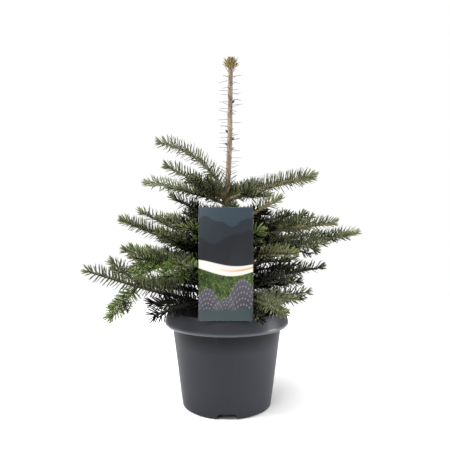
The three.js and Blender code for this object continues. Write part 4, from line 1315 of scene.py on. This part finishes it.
def make_twigs(whorl, materials):
    parts = []
    for spray in grown_sprays():
        if spray.whorl != whorl:
            continue
        for i, (twig, first, level) in enumerate(needled_twigs(spray)):
            habit = habit_of(spray, i, level)
            sides = 8 if level < 2 else 6
            tone = TWIG_BARKS.index(habit.bark if level < 2 else "dark")
            parts.append(twig_mesh(twig, first, sides, tone, f"{spray.name}_{i}", habit.cushion))
    twigs = mesh_from(f"twigs_{whorl}", *gathered(parts))
    settle(twigs, 50)
    finished(twigs, "bark", (), *materials)


# ---------------------------------------------------------------- needles and buds

NEEDLE_TONES = (
    "deep", "green", "fresh", "olive", "blue", "pale", "straw", "black", "lit", "sage",
    "under", "dim", "silver", "ash",
)
MATT_TONES = ("black", "under", "dim", "silver", "ash")
UNDERSIDES = {
    "deep": "dim", "black": "black", "pale": "pale", "straw": "straw", "lit": "silver", "sage": "ash",
}
TONE = {name: i for i, name in enumerate(NEEDLE_TONES)}
UNDER_TONES = np.array([TONE[UNDERSIDES.get(name, "under")] for name in NEEDLE_TONES])

NEEDLE_RINGS = np.array((0.0, 0.16, 0.74, 1.0))  # shares of the length
NEEDLE_WIDTHS = np.array((0.4, 0.95, 1.0, 0.45))
NEEDLE_HEIGHTS = np.array((0.9, 1.0, 1.0, 0.5))

Needles = namedtuple("Needles", "root aim upper length tone")


def needle_mesh(needles, width, thickness, curve=0.07):
    """Flat needles, each of three stretches with a ridge above and below, and a blunt end."""
    count = len(needles.root)
    upper = unit(needles.upper - needles.aim * np.sum(needles.upper * needles.aim, -1, keepdims=True))
    across = np.cross(needles.aim, upper)
    length = needles.length[:, None, None]
    t = NEEDLE_RINGS[None, :, None]
    middle = needles.root[:, None] + needles.aim[:, None] * length * t
    middle = middle + upper[:, None] * length * curve * t * t
    wide = across[:, None] * (NEEDLE_WIDTHS * width / 2)[None, :, None]
    high = upper[:, None] * (NEEDLE_HEIGHTS * thickness / 2)[None, :, None]
    vertices = np.stack((middle + wide, middle - high, middle - wide, middle + high), axis=2)
    rings = len(NEEDLE_RINGS)
    faces = np.concatenate((ring_faces(rings, 4), [(3, 2, 1, 0)], [np.arange(4) + 4 * (rings - 1)]))
    is_under = np.tile((True, True, False, False), rings - 1)
    is_under = np.concatenate((is_under, (True, False)))
    tones = np.where(is_under[None], UNDER_TONES[needles.tone][:, None], needles.tone[:, None])
    corners = (np.arange(count) * 4 * rings)[:, None, None] + faces
    return vertices.reshape(-1, 3), corners.reshape(-1, 4), tones.ravel()


def clear_of_all(needles):
    """Which needles keep out of pot, peat, label and trunk."""
    free = np.ones(len(needles.root), bool)
    for share in (0.3, 0.55, 0.8, 1.0):
        free &= ~blocked(needles.root + needles.aim * (needles.length * share)[:, None], 0.0006)
    return free


def kept(needles, mask):
    return Needles(*(part[mask] for part in needles))


def shaded(places, random):
    """True for the needles deep in the crown that get painted shade, a very dark colour."""
    depth = (DARK_WITHIN + DARK_FADE - np.hypot(places[:, 0], places[:, 1])) / DARK_FADE
    return (random.uniform(0, 1, len(places)) < np.clip(depth, 0, 0.9)) & (places[:, 2] < DARK_TO_Z)


def needles_on(twig, first, level, sizes, habit, seed):
    """Needles up one twig in close rounds, gathered to its upper side, closing in round its end."""
    random = random_arrays(seed)
    bare = BARE_AT_TRUNK if first == 0 and level == 0 else 0 if first else BARE_AT_NODE
    span = twig.length * (1 - first) - bare
    rows = max(3, int(span / sizes.needle_gap * habit.fullness * (0.85 if level == 2 else 1)))
    order = np.arange(rows) + random.uniform(0.2, 0.8, rows)
    middle = (np.floor(np.arange(rows) / ROUND) + 0.5) * ROUND
    place = bare + span * lerp(order, np.minimum(middle, rows), ROUND_SNAP) / rows
    place = np.concatenate((place, np.full(9, bare + span) - random.uniform(0, 0.0015, 9)))
    count = len(place)
    share = first + place / twig.length
    station = twig.at(share)
    angle = np.radians(NEEDLE_TURN) * np.arange(count) + random.uniform(-0.14, 0.14, count)
    from_top = np.angle(np.exp(1j * angle))
    lifted = from_top * (habit.gather + random.uniform(-0.08, 0.08, count))
    near_tip = np.clip(twig.length * (1 - share) / TIP_STRETCH, 0, 1)
    lean = np.radians(lerp(TIP_LEAN, habit.lean, near_tip) + random.uniform(-5, 5, count))
    outward = station.side * np.sin(lifted)[:, None] + station.up * np.cos(lifted)[:, None]
    aim = station.along * np.cos(lean)[:, None] + outward * np.sin(lean)[:, None]
    shorter = lerp(0.8, 1.0, near_tip) * (0.82 if level == 2 else 1.0)
    below = 1 - 0.16 * np.abs(from_top) / np.pi
    length = sizes.needle_length * habit.size * shorter * below * random.uniform(0.84, 1.06, count)
    twist = random.uniform(-1.2, 1.2, count)
    face = station.along + UP * 0.5
    face = unit(face - aim * np.sum(face * aim, -1, keepdims=True))
    upper = face * np.cos(twist)[:, None] + np.cross(aim, face) * np.sin(twist)[:, None]
    young = (near_tip < 0.8) & (random.uniform(0, 1, count) < (0.1 if level == 2 else 0.45))
    young &= habit.needles != "black"
    tones = np.where(young, TONE["olive"], TONE[habit.needles])
    root = station.point + outward * (station.radius * 0.5)[:, None]
    # painted shade: needles deep in the crown take the very dark tone
    tones = np.where(shaded(root, random), TONE["black"], tones)
    needles = Needles(root, aim, upper, length, tones)
    return kept(needles, clear_of_all(needles))


def make_needles(whorl, sizes, materials):
    parts = []
    for spray in grown_sprays():
        if spray.whorl != whorl:
            continue
        for i, (twig, first, level) in enumerate(needled_twigs(spray)):
            habit, seed = habit_of(spray, i, level), f"{spray.name}_needles_{i}"
            needles = needles_on(twig, first, level, sizes, habit, seed)
            parts.append(needle_mesh(needles, sizes.needle_width, sizes.needle_thickness))
    piece = mesh_from(f"needles_{whorl}", *gathered(parts))
    names = [f"foliage_{spray.name}" for spray in grown_sprays() if spray.whorl == whorl]
    finished(piece, "needles", names, *materials)


def bud_mesh(root, aim, length, radius, tone):
    """A pointed egg of overlapping rows of scales."""
    sides, shares = 6, np.array((0.0, 0.12, 0.3, 0.52, 0.75, 0.92, 1.0))
    girth = np.array((0.55, 0.9, 1.0, 0.88, 0.62, 0.3, 0.08)) * radius
    side = unit(np.cross(aim, (0.31, 0.17, 0.93)))
    up = np.cross(side, aim)
    angle = np.arange(sides) * 2 * np.pi / sides
    scales = 1 + 0.08 * np.cos(angle * 3)[None] * np.where(np.arange(len(shares)) % 2, 1, -1)[:, None]
    across = side * np.cos(angle)[:, None] + up * np.sin(angle)[:, None]
    outward = across[None] * (girth[:, None] * scales)[..., None]
    places = root + aim * (shares * length)[:, None, None] + outward
    faces = tube_faces(len(shares), sides)
    return places.reshape(-1, 3), faces, np.full(len(faces), tone)


def twig_buds(sizes):
    """A larger bud at the end of each twig, with one at either side."""
    for spray in grown_sprays():
        for i, (twig, _, level) in enumerate(needled_twigs(spray)):
            random = random_arrays(f"{spray.name}_bud_{i}")
            end = twig.at(1.0)
            length = sizes.bud_length * (0.75 if level == 2 else 1) * random.uniform(0.85, 1.15)
            # buds on fine twigs and on twigs with the dark, shaded bark take the dark bud colour: partly
            # painted shade
            tone = 1 if level == 2 or habit_of(spray, i, level).bark == "dark" else 0
            yield bud_mesh(end.point - end.along * 0.0006, end.along, length, length * 0.3, tone)
            for hand in (-1, 1):
                aim = unit(end.along + end.side * hand * 0.9 + end.up * random.uniform(-0.2, 0.4))
                root = end.point - end.along * 0.0012
                yield bud_mesh(root, aim, length * 0.75, length * 0.24, tone)


def leader_bud_meshes():
    for z, turn in LEADER_BUDS:
        root = trunk_axis(z) + direction(turn, 0) * trunk_radius(z) * 0.8
        yield bud_mesh(root, direction(turn, 40), 0.0055, 0.0019, 1)


def make_buds(sizes, bud, dark_bud):
    parts = [*twig_buds(sizes), *leader_bud_meshes()]
    piece = mesh_from("buds", *gathered(parts))
    settle(piece, 50)
    finished(piece, "buds", (), bud, dark_bud)


def make_leader_needles(sizes, materials):
    """Thin needles that stand out level along the leader, and closer ones that rise at its foot."""
    random = random_arrays("leader")
    rule = LEADER_NEEDLES
    z = np.arange(0.318, rule["last"] + 0.004, 0.0013)
    count = len(z)
    foot, head = np.clip((0.374 - z) / 0.035, 0, 1), np.clip((z - 0.504) / 0.006, 0, 1)
    turn = np.degrees(np.arange(count) * GOLDEN_ANGLE) + random.uniform(-15, 15, count)
    rise = lerp(lerp(3, 42, foot), 52, head) + random.uniform(-9, 9, count)
    aim = direction(turn, rise)
    root = trunk_axis(z) + direction(turn, 0) * trunk_radius(z)[:, None] * 0.6
    length = lerp(0.0175, 0.0165, foot) * random.uniform(0.8, 1.05, count)
    tone = np.where(random.uniform(0, 1, count) < foot, TONE["green"], TONE["pale"])
    tone = np.where(head > 0.5, TONE["straw"], tone)
    upper = UP + random.uniform(-0.6, 0.6, (count, 3))
    chosen = random.uniform(0, 1, count) < lerp(0.52, 1, np.maximum(foot, head))
    needles = kept(Needles(root, aim, upper, length, tone), chosen)
    parts = [needle_mesh(needles, sizes.needle_width * 0.66, sizes.needle_thickness * 0.8, -0.05)]

    z = np.concatenate((np.arange(0.215, 0.3, 0.0016), np.arange(0.3, 0.334, 0.0008)))
    count = len(z)
    at_whorl = z > 0.3
    turn = np.degrees(np.arange(count) * GOLDEN_ANGLE)
    aim = direction(turn, np.where(at_whorl, 54, 35) + random.uniform(-15, 15, count))
    root = trunk_axis(z) + direction(turn, 0) * trunk_radius(z)[:, None] * 0.7
    length = sizes.needle_length * random.uniform(0.75, 1.0, count)
    tone = np.where(at_whorl, random.choice((TONE["olive"], TONE["green"]), count), TONE["deep"])
    needles = Needles(root, aim, UP + random.uniform(-0.6, 0.6, (count, 3)), length, tone)
    parts.append(needle_mesh(needles, sizes.needle_width, sizes.needle_thickness, 0.05))
    piece = mesh_from("leader_needles", *gathered(parts))
    finished(piece, "needles", (), *materials)


def make_tuft(sizes, materials):
    """The leader's end: a ring of buds round a larger one, in a tuft of short upright needles."""
    low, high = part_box("leader_tuft")
    heart = np.array((trunk_x(TRUNK_TOP_Z), 0, low.z + 0.0025))
    golden, wood = len(NEEDLE_TONES), len(NEEDLE_TONES) + 1
    parts = [bud_mesh(heart, UP, high.z - low.z - 0.006, 0.0032, golden)]
    for i in range(6):
        parts.append(bud_mesh(heart, direction(i * 60 + 20, 48), 0.0085, 0.0023, golden))
    stub = Limb(heart - UP * 0.004, UP + np.array((0.001, 0, 0)), UP, 0.006, TRUNK_TIP_RADIUS, 0.003)
    parts.append(twig_mesh(stub, 0, 12, wood, "stub"))
    random = random_arrays("tuft")
    count = 120
    order = np.arange(count)
    rise = 22 + 56 * (order / count) + random.uniform(-8, 8, count)
    aim = direction(np.degrees(order * GOLDEN_ANGLE), rise)
    root = heart + aim * 0.0018 + UP * (random.uniform(-0.004, 0.001, count) * (rise < 60))[:, None]
    length = 0.0138 * random.uniform(0.75, 1.15, count)
    length = np.minimum(length, (high.z - root[:, 2] - 0.0006) / aim[:, 2])
    tones = np.array([TONE[name] for name in ("olive", "straw", "straw")])
    tone = tones[random.randint(0, len(tones), count)]
    needles = Needles(root, aim, UP + random.uniform(-0.3, 0.3, (count, 3)), length, tone)
    parts.append(needle_mesh(needles, sizes.needle_width * 0.85, sizes.needle_thickness, 0.06))
    piece = mesh_from("leader_tuft_buds", *gathered(parts))
    finished(piece, "buds", ["leader_tuft"], *materials)


# ---------------------------------------------------------------- studio

CAMERA_PLACE, FOCAL_PIXELS, IMAGE_PIXELS = (-0.0028, -0.7, 0.2745), 449.6, 450
LIGHTS = (  # name, place, aim, width, height, watts
    ("overhead_softbox", (-0.25, 0.0, 1.9), (-0.25, 0.001, 0), 2.4, 2.6, 62.0),
    ("key_softbox", (-0.75, -0.25, 0.95), (0, 0, 0.1), 0.4, 0.4, 15.0),
    ("front_softbox", (-0.55, -1.2, 1.1), (0, 0, 0.2), 0.8, 0.8, 8.0),
    ("right_strip", (1.05, -0.1, 0.2), (0.03, 0, 0.15), 0.25, 0.4, 13.0),
    ("left_strip", (-1.05, 0.2, 0.45), (-0.03, 0, 0.2), 0.25, 1.3, 2.0),
)
ROOM_LIGHT = 0.17  # what the white room gives to the plant; the camera sees it as plain white


def make_studio():
    world = bpy.data.worlds.new("white_room")
    world.use_nodes = True
    nodes, links = world.node_tree.nodes, world.node_tree.links
    nodes["Background"].inputs["Color"].default_value = (1, 1, 1, 1)
    seen, brightness = nodes.new("ShaderNodeLightPath"), nodes.new("ShaderNodeMapRange")
    brightness.inputs["To Min"].default_value = ROOM_LIGHT
    links.new(seen.outputs["Is Camera Ray"], brightness.inputs["Value"])
    links.new(brightness.outputs["Result"], nodes["Background"].inputs["Strength"])
    bpy.context.scene.world = world
    bpy.context.scene.view_settings.view_transform = "Standard"

    deselect()
    bpy.ops.mesh.primitive_plane_add(size=1.7, location=(0, 0, -0.0002))
    floor = newest("studio_floor")
    finish = Finish("studio_floor", (1, 1, 1), 1, specular_ior_level=0)
    floor.data.materials.append(finish.material)

    for name, place, aim, width, height, watts in LIGHTS:
        deselect()
        bpy.ops.object.light_add(type="AREA", location=place)
        lamp = newest(name)
        lamp.data.shape = "RECTANGLE"
        lamp.data.size, lamp.data.size_y, lamp.data.energy = width, height, watts
        lamp.rotation_euler = (Vector(aim) - Vector(place)).to_track_quat("-Z", "Y").to_euler()

    deselect()
    bpy.ops.object.camera_add(location=CAMERA_PLACE, rotation=(math.radians(90), 0, 0))
    camera = newest("camera")
    camera.data.sensor_width = 36
    camera.data.lens = FOCAL_PIXELS / IMAGE_PIXELS * camera.data.sensor_width
    camera.data.clip_start = 0.01
    bpy.context.scene.camera = camera


# ---------------------------------------------------------------- operators


def twig_materials(colours):
    return [bark_finish(f"bark_{name}", tuple(getattr(colours, name))) for name in TWIG_BARKS]


@functools.cache
def shared_needle_materials():
    colours = bpy.context.scene.fir_colours
    return [needle_finish(name, tuple(getattr(colours, name))) for name in NEEDLE_TONES]


class FIR_OT_pot(bpy.types.Operator):
    """Spin the pot, cut its notches and drain holes, and mould the oval on its rim"""

    bl_idname = "fir.pot"
    bl_label = "Pot"

    def execute(self, context):
        make_pot(context.scene.fir_pot, pot_finish(tuple(context.scene.fir_colours.pot)))
        return {"FINISHED"}


class FIR_OT_peat(bpy.types.Operator):
    """Fill the pot with peat and strew crumbs on it"""

    bl_idname = "fir.peat"
    bl_label = "Peat"

    def execute(self, context):
        colour = tuple(context.scene.fir_colours.peat)
        make_peat(context.scene.fir_pot, peat_finish("peat", colour, 1.3), peat_finish("crumb", colour, 2.6))
        return {"FINISHED"}


class FIR_OT_label(bpy.types.Operator):
    """Make the label's card and clip"""

    bl_idname = "fir.label"
    bl_label = "Plant label"

    def execute(self, context):
        make_label(context.scene.fir_label, label_finish(), card_back_finish())
        return {"FINISHED"}


class FIR_OT_trunk(bpy.types.Operator):
    """Roll the trunk, with its bark, needle scars and root flare"""

    bl_idname = "fir.trunk"
    bl_label = "Trunk"

    def execute(self, context):
        make_trunk(leader_finish(context.scene.fir_colours))
        return {"FINISHED"}


class FIR_OT_boughs(bpy.types.Operator):
    """Roll the boughs, whorl by whorl"""

    bl_idname = "fir.boughs"
    bl_label = "Boughs"

    def execute(self, context):
        material = bark_finish("bark_old", tuple(context.scene.fir_colours.bough))
        for whorl in WHORLS:
            make_boughs(whorl, material)
        return {"FINISHED"}


class FIR_OT_twigs(bpy.types.Operator):
    """Make the twigs that carry needles, whorl by whorl"""

    bl_idname = "fir.twigs"
    bl_label = "Twigs"

    def execute(self, context):
        materials = twig_materials(context.scene.fir_colours)
        for whorl in WHORLS:
            make_twigs(whorl, materials)
        return {"FINISHED"}


class FIR_OT_needles(bpy.types.Operator):
    """Set needles on every twig, whorl by whorl"""

    bl_idname = "fir.needles"
    bl_label = "Needles"

    def execute(self, context):
        for whorl in WHORLS:
            make_needles(whorl, context.scene.fir_foliage, shared_needle_materials())
        return {"FINISHED"}


class FIR_OT_leader(bpy.types.Operator):
    """Set the leader's needles and its tuft"""

    bl_idname = "fir.leader"
    bl_label = "Leader"

    def execute(self, context):
        colours, sizes = context.scene.fir_colours, context.scene.fir_foliage
        make_leader_needles(sizes, shared_needle_materials())
        golden = bud_finish("tuft_bud", tuple(colours.bud))
        wood = bark_finish("bark_tip", tuple(colours.leader))
        make_tuft(sizes, [*shared_needle_materials(), golden, wood])
        return {"FINISHED"}


class FIR_OT_buds(bpy.types.Operator):
    """Set buds at the ends of twigs and along the leader"""

    bl_idname = "fir.buds"
    bl_label = "Buds"

    def execute(self, context):
        colours = context.scene.fir_colours
        bud = bud_finish("bud", tuple(colours.bud))
        dark_bud = bud_finish("dark_bud", tuple(colours.dark_bud))
        make_buds(context.scene.fir_foliage, bud, dark_bud)
        return {"FINISHED"}


class FIR_OT_studio(bpy.types.Operator):
    """Set the floor, the lights and the camera"""

    bl_idname = "fir.studio"
    bl_label = "Studio"

    def execute(self, context):
        make_studio()
        return {"FINISHED"}


OPERATORS = (
    FIR_OT_pot, FIR_OT_peat, FIR_OT_label, FIR_OT_trunk, FIR_OT_boughs, FIR_OT_twigs,
    FIR_OT_needles, FIR_OT_leader, FIR_OT_buds, FIR_OT_studio,
)
GROUPS = {
    "fir_pot": PotSizes, "fir_label": LabelSizes, "fir_foliage": FoliageSizes, "fir_colours": FirColours,
}


class FIR_PT_panel(bpy.types.Panel):
    """Sizes, colours and steps of the potted fir"""

    bl_idname = "FIR_PT_panel"
    bl_label = "Potted fir"
    bl_space_type = "VIEW_3D"
    bl_region_type = "UI"
    bl_category = "Fir"

    def draw(self, context):
        for group_name, group in GROUPS.items():
            box = self.layout.box()
            for name in group.__annotations__:
                box.prop(getattr(context.scene, group_name), name)
        for operator in OPERATORS:
            self.layout.operator(operator.bl_idname)


def register():
    for group_name, group in GROUPS.items():
        bpy.utils.register_class(group)
        setattr(bpy.types.Scene, group_name, PointerProperty(type=group))
    for cls in (*OPERATORS, FIR_PT_panel):
        bpy.utils.register_class(cls)


def unregister():
    for cls in reversed((*OPERATORS, FIR_PT_panel)):
        bpy.utils.unregister_class(cls)
    for group_name, group in GROUPS.items():
        delattr(bpy.types.Scene, group_name)
        bpy.utils.unregister_class(group)


def main():
    register()
    for step in ("pot", "peat", "label", "trunk", "boughs", "twigs", "needles", "leader", "buds", "studio"):
        getattr(bpy.ops.fir, step)()


if __name__ == "__main__":
    main()
